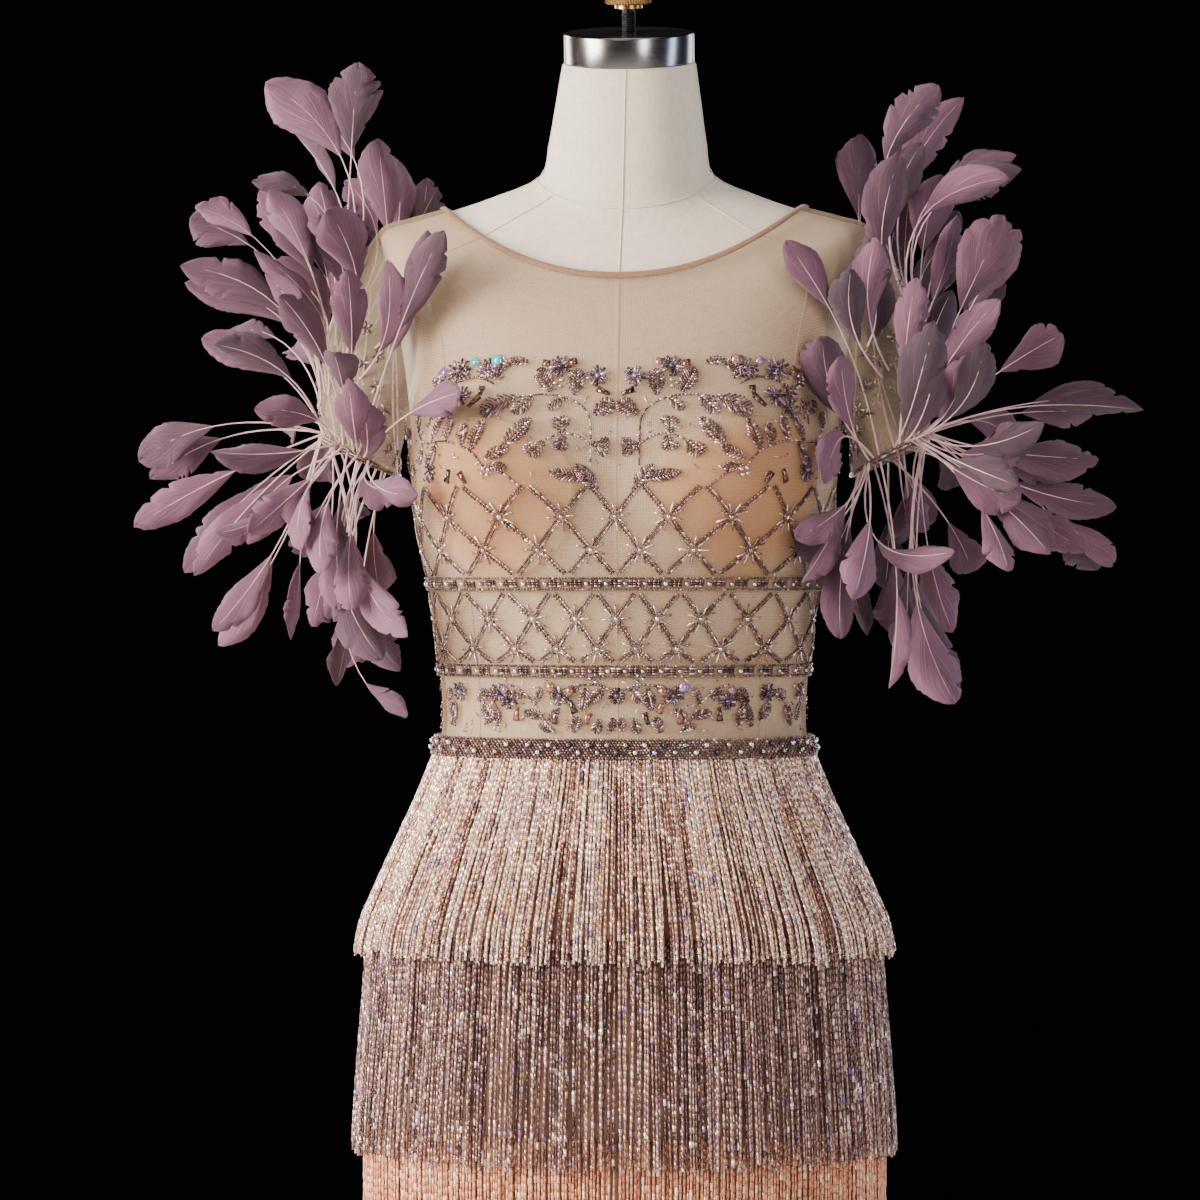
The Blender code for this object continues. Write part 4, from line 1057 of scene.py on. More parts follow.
def sew_waist(sewing, low, high):
    """The waistband: seeds of every shade, packed close, with two staggered rows of crystals."""
    sewing.move(0.0, (low + high) / 2)
    around = 2 * math.pi * sewing.radius / MM
    lines = round((high - low) / (1.9 * MM))
    count = round(around / 2.3)
    for line in range(lines):
        height = low + (high - low) * (line + 0.5) / lines
        for k in range(count):
            sewing.move(2 * math.pi * (k + 0.5 * (line % 2)) / count, height, sewing.draw.uniform(0, 3))
            colour = sewing.draw.choice(("rose", "rose", "plum", "dusk", "dusk", "umber"))
            sewing.dot("seed", colour, (0, 0), sewing.draw.uniform(1.9, 2.5))
    crystals = round(around / 13) * 2
    for k in range(crystals):
        sewing.move(2 * math.pi * k / crystals, (low + high) / 2 + (2.6 * MM if k % 2 else -2.6 * MM))
        sewing.dot("crystal", "crystal" if k % 5 else "plum", (0, 0), 4.5, 3.8, 0.6)


def scatter(sewing, low, high, count):
    """Loose seeds and bugles strewn between the larger figures."""
    for _ in range(count):
        heading, height = sewing.draw.uniform(-math.pi, math.pi), sewing.draw.uniform(low, high)
        sewing.move(heading, height, sewing.draw.uniform(0, 3))
        if sewing.draw.random() < 0.6:
            sewing.dot("seed", "rose", (0, 0), 1.7)
            sewing.dot("seed", "plum", (2.2, 0.4), 1.5)
        else:
            sewing.sew("round_bugle", "clear", (-1.8, 0), (1.8, 0), 1.3, 1.3)


# The dress form


class DRESS_OT_form(bpy.types.Operator):
    """Makes the form's linen cover with its seams, its stand and the fittings on its neck"""

    bl_idname = "dress.form"
    bl_label = "Dress form"

    def execute(self, context):
        look = context.scene.dress_settings
        linen = linen_finish(look.linen)
        add_form_cover(linen)
        add_form_seams(linen)
        add_neck_fittings()
        add_stand()
        return {"FINISHED"}


def add_form_cover(finish):
    """The form's cover, closed at its lower edge and its neck."""
    bm = bmesh.new()
    last = len(SECTIONS) - 1
    girth, height = 2 * math.pi * 0.13, SECTIONS[-1][0] - SECTIONS[0][0]

    def point_at(across, up):
        return form_point(math.pi * (2 * across - 1), last * up)

    shaped_grid(bm, 100, 110, point_at, (girth, height))
    weld(bm)
    close_ends(bm)
    add_piece("form_cover", bm, finish, replaces=("form_body",), slot="form_cloth")


def add_form_seams(finish):
    """Raised lapped seams on the cover: centre front and back, princess, side, shoulder and neck base."""
    start, top, neck = 0.5, ROW["neck_top"] - 0.05, ROW["neck_base"] - 0.1
    princess_front, princess_back = 0.86, 2.35
    upright = [(turn, top) for turn in (0.0, math.pi, math.pi / 2, -math.pi / 2)]
    upright += [(side * turn, neck) for side in (-1, 1) for turn in (princess_front, princess_back)]
    wide = 1.3 * MM / USUAL_RADIUS
    bm = bmesh.new()
    for turn, stop in upright:

        def point_at(across, up, turn=turn, stop=stop):
            rise = (0.25 + 0.45 * math.sin(math.pi * across)) * MM
            return over_form(turn + wide * (across - 0.5), start + (stop - start) * up, rise)

        shaped_grid(bm, 4, 80, point_at, (2 * MM, 0.7))

    def ring(across, up):
        turn = math.pi * (2 * across - 1)
        return over_form(turn, neck + 0.055 * (up - 0.5), (0.25 + 0.5 * math.sin(math.pi * up)) * MM)

    shaped_grid(bm, 100, 4, ring, (0.4, 2 * MM))
    made = add_piece("form_seams", bm, finish, slot="form_cloth")
    thicken(made, 0.3 * MM, -1.0)


def neck_seat():
    """The frame of the neck's top, with the tilt of the head of the form."""
    return Matrix.Translation(NECK_TOP) @ Matrix.Rotation(NECK_TILT, 4, "X")


def arc(centre, radius, start, stop, steps):
    """Points of an arc in a profile, in degrees from the outward direction."""
    angles = [math.radians(start + (stop - start) * k / steps) for k in range(steps + 1)]
    return [(centre[0] + radius * math.cos(a), centre[1] + radius * math.sin(a)) for a in angles]


def add_neck_fittings():
    """The cap, the threaded rod that stands in it and the knurled knob on the rod."""
    seat = neck_seat()
    low, high = CAP_GAP, CAP_GAP + CAP_HEIGHT
    lip = 1.6 * MM
    floor_z = high - SCREW_SEAT
    bore = SCREW_RADIUS + 0.6 * MM
    cap = [(0, floor_z), (bore, floor_z), (bore, high - 0.4 * MM), (bore + 0.4 * MM, high)]
    cap += arc((CAP_RADIUS - lip, high - lip), lip, 90, 0, 6)
    cap += arc((CAP_RADIUS - 0.5 * MM, low + 0.5 * MM), 0.5 * MM, 0, -90, 3) + [(0, low)]
    add_turned("neck_cap_spun", cap, seat, steel_finish(), replaces=("neck_cap",), steps=128)

    black = hard_finish("Blackened steel", "#2A292B", "#151416", 0.42, 0.85)
    head = high + SCREW_LENGTH
    add_thread(seat, floor_z + 0.4 * MM, head, black)
    add_knob(seat, head, hard_finish("Turned brass", "#B98F5C", "#9C7646", 0.3, 1.0))


def add_thread(seat, foot, head, finish):
    """The rod: a V thread spun round its core, closed at both ends."""
    turns = int((head - foot - 2 * MM) / THREAD_PITCH) - 1
    crest, root, start, steps = SCREW_RADIUS, SCREW_RADIUS - THREAD_DEPTH, foot + MM, 32
    ridge = [(root, 0.0), (crest, 0.42), (crest, 0.58), (root, 1.0)]
    bm = bmesh.new()
    bmesh.ops.spin(
        bm,
        geom=open_line(bm, [(radius, 0, start + share * THREAD_PITCH) for radius, share in ridge]),
        cent=(0, 0, 0),
        axis=(0, 0, 1),
        angle=2 * math.pi * turns,
        steps=steps * turns,
        dvec=(0, 0, THREAD_PITCH / steps),
    )
    weld(bm)
    close_ends(bm)
    bmesh.ops.transform(bm, matrix=seat, verts=bm.verts[:])
    add_piece("neck_thread", bm, finish)
    core_radius = root + 0.05 * MM
    core = [(0, foot), (core_radius, foot), (core_radius, head), (0, head)]
    add_turned("neck_rod", core, seat, finish, ("neck_screw",), steps)


def add_knob(seat, head, finish):
    """The knob, with a knurled rim between two chamfers and a collar under it."""
    under = head + CAP_GAP
    rim, top = under + KNOB_COLLAR, under + KNOB_COLLAR + KNOB_HEIGHT
    edge = 1.2 * MM
    profile = [(0, under), (KNOB_COLLAR_RADIUS, under), (KNOB_COLLAR_RADIUS, rim), (KNOB_RADIUS - edge, rim)]
    profile += [(KNOB_RADIUS, rim + edge), (KNOB_RADIUS, top - edge)]
    profile += arc((KNOB_RADIUS - edge, top - edge), edge, 30, 90, 4)
    profile += [(KNOB_RADIUS * 0.62, top), (KNOB_RADIUS * 0.56, top - 0.5 * MM), (0, top - 0.5 * MM)]
    bm = turned(profile, 2 * KNURL_TEETH)
    for vert in bm.verts:
        radius = vert.co.xy.length
        step = round(math.atan2(vert.co.y, vert.co.x) / (math.pi / KNURL_TEETH))
        if radius > KNOB_RADIUS - 0.1 * MM and step % 2:
            vert.co.x *= 1 - KNURL_DEPTH / radius
            vert.co.y *= 1 - KNURL_DEPTH / radius
    add_seated("knurled_knob", bm, seat, finish, body="knob", replaces=("neck_knob",))


def add_stand():
    """The stand's foot, hub and pole, cast and turned in black iron."""
    iron = hard_finish("Black enamelled iron", "#26262A", "#1B1B1E", 0.38, 0.5)
    still = Matrix.Identity(4)
    round_edge, hub_rise, hub_lip = 3 * MM, 50 * MM, 4 * MM
    base = [(0, 0), (BASE_RADIUS - 2 * MM, 0)] + arc((BASE_RADIUS - 2 * MM, 2 * MM), 2 * MM, -90, 0, 4)
    base += [(BASE_RADIUS, BASE_HEIGHT / 2)]
    base += arc((BASE_RADIUS - BASE_SLOPE - MM, BASE_HEIGHT - round_edge), round_edge, 60, 90, 4)
    base += [(0, BASE_HEIGHT)]
    add_turned("stand_foot", base, still, iron, replaces=("stand_base",), steps=144)
    low = BASE_HEIGHT + CAP_GAP
    hub = [(0, low), (HUB_FOOT_RADIUS, low), (HUB_FOOT_RADIUS, low + hub_lip)]
    for share in (0.2, 0.4, 0.6, 0.8, 1.0):
        flare = (HUB_FOOT_RADIUS - HUB_RADIUS) * (1 - share) ** 2.2
        hub.append((HUB_RADIUS + flare, low + hub_lip + hub_rise * share))
    hub += arc((HUB_RADIUS - 2 * MM, HUB_TOP - 2 * MM), 2 * MM, 0, 90, 4) + [(0, HUB_TOP)]
    add_turned("stand_socket", hub, still, iron, replaces=("stand_hub",), steps=96)
    top, foot = SECTIONS[0][0] - CAP_GAP, HUB_TOP + CAP_GAP
    pole = [(0, foot), (POLE_RADIUS, foot), (POLE_RADIUS, top - FLANGE_HEIGHT - 4 * MM)]
    pole += [(FLANGE_RADIUS, top - FLANGE_HEIGHT), (FLANGE_RADIUS, top), (0, top)]
    add_turned("stand_post", pole, still, iron, replaces=("stand_pole",), steps=96)


# The bodice


def net_row(up):
    """The row at a share of the bodice's height, closer together where the armhole curves away."""
    low, top = ROW["waist_seam"], ROW["neckline"]
    underarm, shoulder = 0.5, 0.88
    if up <= underarm:
        return low + (ARM_LOW - low) * up / underarm
    if up <= shoulder:
        return ARM_MIDDLE - ARM_HALF_ROWS * math.cos(math.pi * (up - underarm) / (shoulder - underarm))
    return ARM_HIGH + (top - ARM_HIGH) * (up - shoulder) / (1 - shoulder)


class DRESS_OT_bodice(bpy.types.Operator):
    """Makes the sheer net bodice with its cups, neck binding and centre back zip"""

    bl_idname = "dress.bodice"
    bl_label = "Bodice"

    def execute(self, context):
        look = context.scene.dress_settings
        net = net_finish("Nylon net", look.net, 0.24)

        def front(across, up):
            row = net_row(up)
            return net_point((2 * across - 1) * (math.pi / 2 - armhole_turn(row) - SEAM_TURN), row)

        def back(side):
            def point_at(across, up):
                row = net_row(up)
                seam = math.pi / 2 + armhole_turn(row) + SEAM_TURN
                share = across if side > 0 else 1 - across
                return net_point(side * (seam + (turn_at_back(row) - seam) * share), row)

            return point_at

        for name, point_at, columns, width in (
            ("front", front, 64, 0.42),
            ("back_left", back(1), 32, 0.2),
            ("back_right", back(-1), 32, 0.2),
        ):
            size, replaced = (width, 0.38), ("bodice_" + name,)
            add_cloth("net_" + name, point_at, columns, 80, size, NET_THICKNESS, net, replaced, "net")
        add_cups(look.cup)
        add_binding(cloth_finish("Silk binding", look.binding, "#7A5A42", 0.5 * MM, 0.5, 0.3))
        add_zip(cloth_finish("Zip tape", "#C0A58C", "#A98D74", 0.6 * MM, 0.8, 0.2))
        return {"FINISHED"}


def add_cups(colour):
    """The moulded cups, each with a dart stitched under its fullest point."""
    cup = cup_finish(colour)
    for name, side in SIDES.items():

        def point_at(across, up, side=side):
            u, v = 2 * across - 1, 2 * up - 1
            x, y = u * math.sqrt(1 - v * v / 2), v * math.sqrt(1 - u * u / 2)
            dart = math.exp(-((x * 12 - 0.8) ** 2)) * max(0.0, -y - 0.1) * MM
            wall = CUP_WALL * (1 - 0.6 * min(1.0, 1.1 * math.hypot(x, y)) ** 3)
            turn = CUP_TURN + 1.1 * CUP_HALF_TURN * x
            return over_form(side * turn, CUP_ROW + 0.12 + 1.16 * CUP_HALF_ROWS * y, CUP_GAP + wall - dart)

        bm = bmesh.new()
        shaped_grid(bm, 32, 32, point_at, (CUP_CUT, CUP_CUT))
        if side < 0:
            bmesh.ops.reverse_faces(bm, faces=bm.faces[:])
        made = add_piece("cup_shell_" + name, bm, cup, replaces=("cup_" + name,), slot="cup")
        thicken(made, 1.2 * MM, -1.0)


def add_binding(finish):
    """The rolled binding round the neckline, open at the zip."""
    row = ROW["neckline"]
    centre = turn_at_back(row)

    def point_at(across, up):
        turn = centre * (2 * across - 1)
        edge = net_point(turn, row, 0.0)
        below = net_point(turn, row - 0.2, 0.0)
        drop = (below - edge).normalized() * 4.0 * MM * (1 - up)
        out = over_form(turn, row - 0.1, 1.0) - over_form(turn, row - 0.1, 0.0)
        return edge + drop + out * (0.8 + 0.7 * math.sin(math.pi * (0.08 + 0.84 * up))) * MM

    add_cloth("binding_roll", point_at, 160, 6, (0.75, 6 * MM), 0.8 * MM, finish, ("neck_binding",), "skirt")


def add_zip(finish):
    """The zip's tape and its two rows of coiled teeth; its slider and tab keep their own shapes."""
    low, top = row_at_height(SECTIONS, BANDS["waistband"][1] + 0.3 * MM), ROW["neckline"]

    def strip(across, up):
        return net_point(math.pi, low + (top - low) * up) + Vector((5 * MM * (0.5 - across), 0, 0))

    add_cloth("zip_tape", strip, 4, 120, (5 * MM, 0.4), 0.6 * MM, finish, ("zip_strip",), "zip")
    places = []
    count = 250
    for k in range(count):
        row = low + (top - 0.02 - low) * (k + 0.5) / count
        point = over_form(math.pi, row, EASE + 0.9 * MM)
        out = (point - form_point(math.pi, row)).normalized()
        offset = Vector(((0.45 if k % 2 else -0.45) * MM, 0, 0))
        places.append(put(point + offset, Vector((1, 0, 0)), out, 1.3 * MM, 0.8 * MM, 0.6 * MM))
    nylon = glass_finish("Nylon coil", ((0.0, "#A58A72"), (1.0, "#BFA58C")), 0.4, 0.0, 0.1)
    join_beads("zip_teeth", "baguette", places, [0.5] * count, nylon)
    steel = hard_finish("Nickel plate", "#B9B5B0", "#9B9792", 0.28, 1.0)
    for node in ("zip_slider", "zip_tab"):
        dress_node(node, steel)


def dress_node(node, finish):
    """Gives a node that keeps its own shape its finish."""
    kept = bpy.data.objects[node]
    if kept.material_slots:
        for slot in kept.material_slots:
            slot.link = "OBJECT"
            slot.material = finish
    else:
        kept.data.materials.append(finish)


# The sleeves


class DRESS_OT_sleeves(bpy.types.Operator):
    """Makes the two sheer sleeves with their beaded hems"""

    bl_idname = "dress.sleeves"
    bl_label = "Sleeves"

    def execute(self, context):
        net = net_finish("Crumpled nylon net", "#A08C76", 0.18)
        kinds = bead_finishes()
        for name, side in SIDES.items():

            def point_at(across, up, side=side):
                around = 1 - across if side > 0 else across
                ripple = 0.7 * MM * math.sin(28 * math.pi * around) * (1 - up)
                return sleeve_point(around, 1 - up, side, ripple)

            bm = bmesh.new()
            shaped_grid(bm, 140, 24, point_at, (0.3, 0.16))
            weld(bm)
            bmesh.ops.recalc_face_normals(bm, faces=bm.faces[:])
            made = add_piece("sleeve_net_" + name, bm, net, replaces=("sleeve_" + name,), slot="net")
            thicken(made, NET_THICKNESS, -1.0)
            sew_sleeve(name, side, kinds)
        return {"FINISHED"}


def sleeve_frame(around, down, side):
    """A point of the sleeve and the direction out of it."""
    step = 0.004
    point = sleeve_point(around, down, side)
    along = sleeve_point(around + step, down, side) - sleeve_point(around - step, down, side)
    fall = sleeve_point(around, min(down + step, 1), side) - sleeve_point(around, max(down - step, 0), side)
    out = along.cross(fall).normalized()
    heart = sleeve_point(around + 0.5, down, side)
    return point, out if out.dot(point - heart) > 0 else -out


def sew_sleeve(name, side, kinds):
    """Three rings of beads at the sleeve's hem, and small sprigs above them."""
    draw = random.Random(31 + side)
    places, shades = [], []
    for ring, (down, light) in enumerate(HEM_RINGS):
        for k in range(HEM_RING_BEADS):
            point, out = sleeve_frame((k + 0.5 * ring) / HEM_RING_BEADS, down, side)
            after, _ = sleeve_frame((k + 0.5 * ring + 0.5) / HEM_RING_BEADS, down, side)
            places.append(put(point + out * 0.9 * MM, after - point, out, 2.1 * MM, 1.5 * MM, 1.5 * MM))
            shades.append(min(1.0, max(0.0, light + draw.uniform(-0.3, 0.4))))
    join_beads("hem_beads_" + name, "round_bugle", places, shades, kinds["rose"])
    places, shades = [], []
    # Uneven steps round and down the sleeve strew the sprigs evenly
    for k in range(SLEEVE_SPRIGS):
        around, down = (k * 0.381966) % 1, 0.2 + 0.7 * ((k * 0.7548) % 1)
        point, out = sleeve_frame(around, down, side)
        along = (sleeve_frame(around + 0.01, down, side)[0] - point).normalized()
        up = out.cross(along)
        for leaf in range(SPRIG_LEAVES):
            angle = 2 * math.pi * leaf / SPRIG_LEAVES + k
            aim = along * math.cos(angle) + up * math.sin(angle)
            places.append(put(point + aim * 3 * MM + out * 0.8 * MM, aim, out, 4.4 * MM, 1.5 * MM, 1.1 * MM))
            shades.append(draw.random())
    join_beads("sleeve_sprigs_" + name, "round_bugle", places, shades, kinds["rose"])


# The feathers


class DRESS_OT_feathers(bpy.types.Operator):
    """Makes the feathers of both sleeves: bare quills that open into vanes"""

    bl_idname = "dress.feathers"
    bl_label = "Feathers"

    def execute(self, context):
        look = context.scene.dress_settings
        vane = vane_finish(look.vane)
        quill = hard_finish("Stripped quill", look.quill, "#C9AEB0", 0.45, 0.0)
        for name, side in SIDES.items():
            add_feathers(name, side, FEATHERS[name], vane, quill)
        return {"FINISHED"}


def through(points, share):
    """A place along a smooth line through points."""
    last = len(points) - 1
    lower = min(int(share * last), last - 1)
    near = [points[min(max(lower + step, 0), last)] for step in (-1, 0, 1, 2)]
    return catmull(*near, share * last - lower)


def sleeve_roots(side):
    """Places on the sleeve where a quill may be sewn, most of them near the hem: the point, the direction
    out of it, and how far up the sleeve it is."""
    rows = (0.3, 0.5, 0.72, 0.84, 0.94)
    return [(*sleeve_frame(k / 48, down, side), 1 - down) for down in rows for k in range(48)]


def feather_line(base, tip, roots, draw):
    """The line of a feather, as a function of the share along it, and where on it the vane begins. It is
    one even curve from the quill's root on the sleeve through the vane's base to its tip."""

    def cost(root):
        point, out, up = root
        span = base - point
        turned_in = max(0.0, 0.35 - out.dot(span.normalized()))
        return span.length + 0.2 * up + 0.25 * turned_in + draw.uniform(0, 8 * MM)

    root = min(roots, key=cost)[0]
    quill, vane = (base - root).length, (tip - base).length
    knot = quill / (quill + vane)

    def line(share):
        first = (share - knot) * (share - 1) / knot
        middle = share * (share - 1) / (knot * (knot - 1))
        last = share * (share - knot) / (1 - knot)
        return root * first + base * middle + tip * last

    return line, knot


def feather_places(side, table, draw):
    """Where each vane starts and ends and how wide it is: those in view, and others behind them."""
    found = []
    for base_out, base_up, tip_out, tip_up, width, ahead in table:
        base, tip = (
            Vector((side * (HEM_CENTRE.x + out * MM), HEM_CENTRE.y - near * MM, HEM_CENTRE.z + up * MM))
            for out, near, up in ((base_out, 0.7 * ahead, base_up), (tip_out, ahead, tip_up))
        )
        found.append((base, tip, width * MM))
        if len(found) % 3 == 1:
            push = Vector((draw.uniform(-14, 14), draw.uniform(18, 34), draw.uniform(-14, 14))) * MM
            found.append((base + push * 0.6, tip + push, draw.uniform(24, 33) * MM))
    for k in range(FEATHERS_BEHIND):
        share = (k + 0.5) / FEATHERS_BEHIND
        rise = math.radians(75 - 150 * share)
        turn = math.radians(50 + 45 * ((k * 0.618034) % 1))
        reach = (150 + 35 * math.sin(rise) ** 2 + draw.uniform(-14, 14)) * MM
        level = math.cos(rise)
        aim = Vector((side * math.cos(turn) * level, math.sin(turn) * level, math.sin(rise)))
        heart = HEM_CENTRE.copy()
        heart.x *= side
        heart.z += 40 * MM
        tip = heart + aim * reach
        found.append((heart + aim * (reach - draw.uniform(48, 66) * MM), tip, draw.uniform(26, 34) * MM))
    return found


def add_feathers(name, side, table, vane_look, quill_look):
    """The feathers of a sleeve: their vanes as one piece, and their quills as another."""
    draw = random.Random(57 + side)
    roots = sleeve_roots(side)
    bm = bmesh.new()
    shade = bm.verts.layers.float.new("shade")
    quills = []
    rows = VANE_ROWS
    for base, tip, width in feather_places(side, table, draw):
        line, knot = feather_line(base, tip, roots, draw)
        full = max(1.1 * width, VANE_FULL)
        roll = math.acos(min(1.0, 1.1 * width / full)) * draw.choice((-1, 1)) + draw.uniform(-0.35, 0.35)
        # A feather's tone differs at random, but it is 0.1 darker behind the sleeve and 0.1 darker on the
        # left sleeve. That is painted shade for the light that reaches them less.
        tone = draw.uniform(-0.32, 0.2) - (0.1 if base.y > 0.05 else 0.0) - (0.1 if side > 0 else 0.0)
        edge = [[draw.random() for _ in range(rows + 1)] for _ in range(2)]
        splits = [[draw.random() < 0.07 and k < rows for k in range(rows + 1)] for _ in range(2)]
        cup, twist, point = draw.uniform(0.1, 0.3), draw.uniform(-0.6, 0.6), draw.uniform(0.55, 0.85)
        curl = draw.uniform(-0.12, 0.3) * full
        face = Vector((0.06, -1, 0)) if base.y < 0.05 else Vector((0.3 * side, 1, 0))

        # A vane swells to 0.58 of its length and closes from 0.48 on, with its barbs swept towards the tip
        def point_at(across, up):
            share = knot + (1 - knot) * up
            ahead = (line(share + 0.01) - line(share - 0.01)).normalized()
            level = Matrix.Rotation(roll + twist * (up - 0.5), 3, ahead) @ ahead.cross(face).normalized()
            normal = level.cross(ahead)
            swell = (1 - (1 - min(up / 0.58, 1)) ** 2) ** 0.9
            close = (1 - (max(0.0, up - 0.48) / 0.52) ** 1.7) ** point
            off = 2 * across - 1
            half, row = int(off > 0), min(round(up * rows), rows)
            torn = 1 - 0.07 * edge[half][row] - (0.24 if splits[half][row] else 0.0) * abs(off)
            reach = off * full / 2 * swell * close * torn
            sweep = abs(off) * full * 0.5 * (1 - 0.75 * up) * swell * torn
            droop = (0.05 * math.sin(11 * up + 4 * off) * abs(off) - cup * off**2) * full * swell * close
            return line(share) + level * reach + ahead * sweep + normal * (droop - curl * up**3)

        verts = shaped_grid(bm, VANE_COLUMNS, rows, point_at, (2.0, 1.0), "vane")
        for vert in verts:
            vert[shade] = tone
        layer = bm.loops.layers.uv["vane"]
        for item in {item for vert in verts for item in vert.link_faces}:
            for loop in item.loops:
                loop[layer].uv.x -= 1.0
        shaft = []
        for k in range(QUILL_ROWS + 1):
            share = 0.985 * k / QUILL_ROWS
            up = max(0.0, (share - knot) / (1 - knot))
            place = line(share) if share <= knot else point_at(0.5, up)
            shaft.append((place, QUILL_RADIUS * (1 - QUILL_TAPER * k / QUILL_ROWS)))
        quills.append(shaft)
    bmesh.ops.triangulate(bm, faces=bm.faces[:])
    made = add_piece("vanes_" + name, bm, vane_look, replaces=("feathers_" + name,), slot="feather")
    thicken(made, 0.35 * MM, 0.0)
    add_tubes("quills_" + name, quills, quill_look)


# The beading


class DRESS_OT_beading(bpy.types.Operator):
    """Sews the bodice's beading: its lattice, flowers, sprays and bands"""

    bl_idname = "dress.beading"
    bl_label = "Beading"

    def execute(self, context):
        kinds = bead_finishes()
        shell = Shell()
        for seed, (name, (rows, count, stars)) in enumerate(LATTICES.items(), 5):
            sewing = Sewing(shell, seed)
            sew_lattice(sewing, rows, count, stars)
            sewing.finish(name, kinds)
        flowers = Sewing(shell, 7)
        sew_top(flowers)
        sew_midriff(flowers)
        flowers.finish("flowers", kinds)
        band = cloth_finish("Beading base", "#947A62", "#75604E", 0.7 * MM, 0.8, 0.2)
        for name, (low, high) in BANDS.items():
            add_band_base(name, low, high, band)
            sewing = Sewing(shell, 8, 3.2 * MM if name == "waistband" else 0.7 * MM)
            if name == "waistband":
                sew_waist(sewing, low, high)
            else:
                sew_band(sewing, low, high, BAND_CRYSTALS)
            sewing.finish(name, kinds)
        return {"FINISHED"}


def add_band_base(name, low, high, finish):
    """The cloth that a band's beads are sewn to."""
    waist = name == "waistband"
    end = math.pi if waist else turn_at_back(row_at_height(SECTIONS, low))

    def point_at(across, up):
        turn = end * (2 * across - 1)
        row = row_at_height(SECTIONS, low + (high - low) * up)
        return over_form(turn, row, WAISTBAND_OUT) if waist else net_point(turn, row, 0.7 * MM)

    size = (0.8, high - low)
    add_cloth(name + "_cloth", point_at, 160, 4, size, 0.6 * MM, finish, (name,), "beading", joined=waist)


# The stems and figures of one side of the front, in millimetres from the centre front and above the
# floor. A figure has its kind, its place, its lean from upright in degrees, and two sizes.
STEMS = (
    ((17, 1226), (17, 1243), (18, 1259), (24, 1268), (36, 1274), (50, 1276), (64, 1275), (80, 1272)),
    ((17, 1241), (27, 1247), (38, 1248), (49, 1244)),
    ((92, 1226), (99, 1235), (110, 1241), (122, 1244), (137, 1244), (143, 1253)),
    ((86, 1284), (98, 1289), (112, 1286), (124, 1279), (131, 1268), (133, 1256)),
    ((66, 1212), (76, 1220), (84, 1223), (92, 1226)),
)
FIGURES = (
    ("leaf", 28, 1275, 4, 17, 9),
    ("leaf", 45, 1278, 36, 18, 8),
    ("leaf", 58, 1275, 145, 13, 8),
    ("leaf", 70, 1275, 122, 18, 12),
    ("leaf", 16, 1262, -58, 15, 9),
    ("leaf", 36, 1274, 132, 11, 6),
    ("leaf", 38, 1248, 8, 11, 9),
    ("leaf", 36, 1247, 172, 9, 8),
    ("leaf", 49, 1243, 138, 11, 9),
    ("leaf", 17, 1240, -96, 11, 10),
    ("leaf", 77, 1239, -28, 20, 9),
    ("leaf", 100, 1237, 0, 19, 7),
    ("leaf", 91, 1231, -62, 15, 6),
    ("leaf", 88, 1227, -105, 11, 5),
    ("leaf", 107, 1241, 22, 14, 6),
    ("leaf", 119, 1244, 14, 15, 6),
    ("leaf", 130, 1244, -4, 17, 6),
    ("leaf", 126, 1243, 150, 15, 7),
    ("leaf", 138, 1244, 160, 14, 6),
    ("leaf", 142, 1252, 20, 13, 6),
    ("leaf", 12, 1209, 38, 20, 7),
    ("leaf", 21, 1217, 78, 20, 6),
    ("leaf", 98, 1288, -40, 11, 5),
    ("leaf", 80, 1288, 62, 13, 5),
    ("leaf", 74, 1298, 112, 15, 5),
    ("leaf", 106, 1288, 34, 12, 5),
    ("leaf", 116, 1284, 158, 12, 6),
    ("leaf", 122, 1281, 58, 13, 5),
    ("leaf", 132, 1264, 58, 13, 6),
    ("leaf", 131, 1272, -150, 12, 5),
    ("leaf", 62, 1299, 80, 11, 4),
    ("flower", 13, 1289, 0, 5, 6),
    ("flower", 39, 1296, 20, 5, 6),
    ("flower", 90, 1295, 0, 5, 6),
    ("flower", 112, 1294, 30, 5, 7),
    ("flower", 120, 1266, 0, 5, 7),
    ("flower", 110, 1275, 50, 5, 6),
    ("flower", 132, 1224, 0, 6, 7),
    ("crystals", 40, 1284, 0, 3, 0),
    ("crystals", 90, 1222, 30, 4, 0),
    ("crystals", 127, 1288, 0, 3, 0),
    ("stone", 4, 1276, 66, 9, 0),
    ("stone", 104, 1268, -30, 8, 0),
    ("stone", 116, 1224, 155, 9, 0),
    ("stone", 96, 1276, 8, 6, 0),
    ("stone", 104, 1214, 30, 8, 0),
    ("square", 30, 1299, 20, 4, 0),
    ("square", 49, 1298, -10, 4, 0),
    ("square", 84, 1301, 12, 5, 0),
    ("square", 123, 1293, 40, 5, 0),
    ("square", 100, 1300, 30, 4, 0),
    ("bugle", 21, 1272, 70, 6, 0),
    ("bugle", 112, 1232, 5, 6, 0),
    ("bugle", 106, 1250, 40, 6, 0),
    ("bugle", 79, 1302, -50, 7, 0),
    ("bugle", 60, 1256, 20, 5, 0),
)
MIDRIFF_STEMS = (
    ((2, 1068), (10, 1073), (20, 1074), (34, 1072)),
    ((44, 1040), (52, 1050), (58, 1060), (68, 1070), (78, 1074)),
)
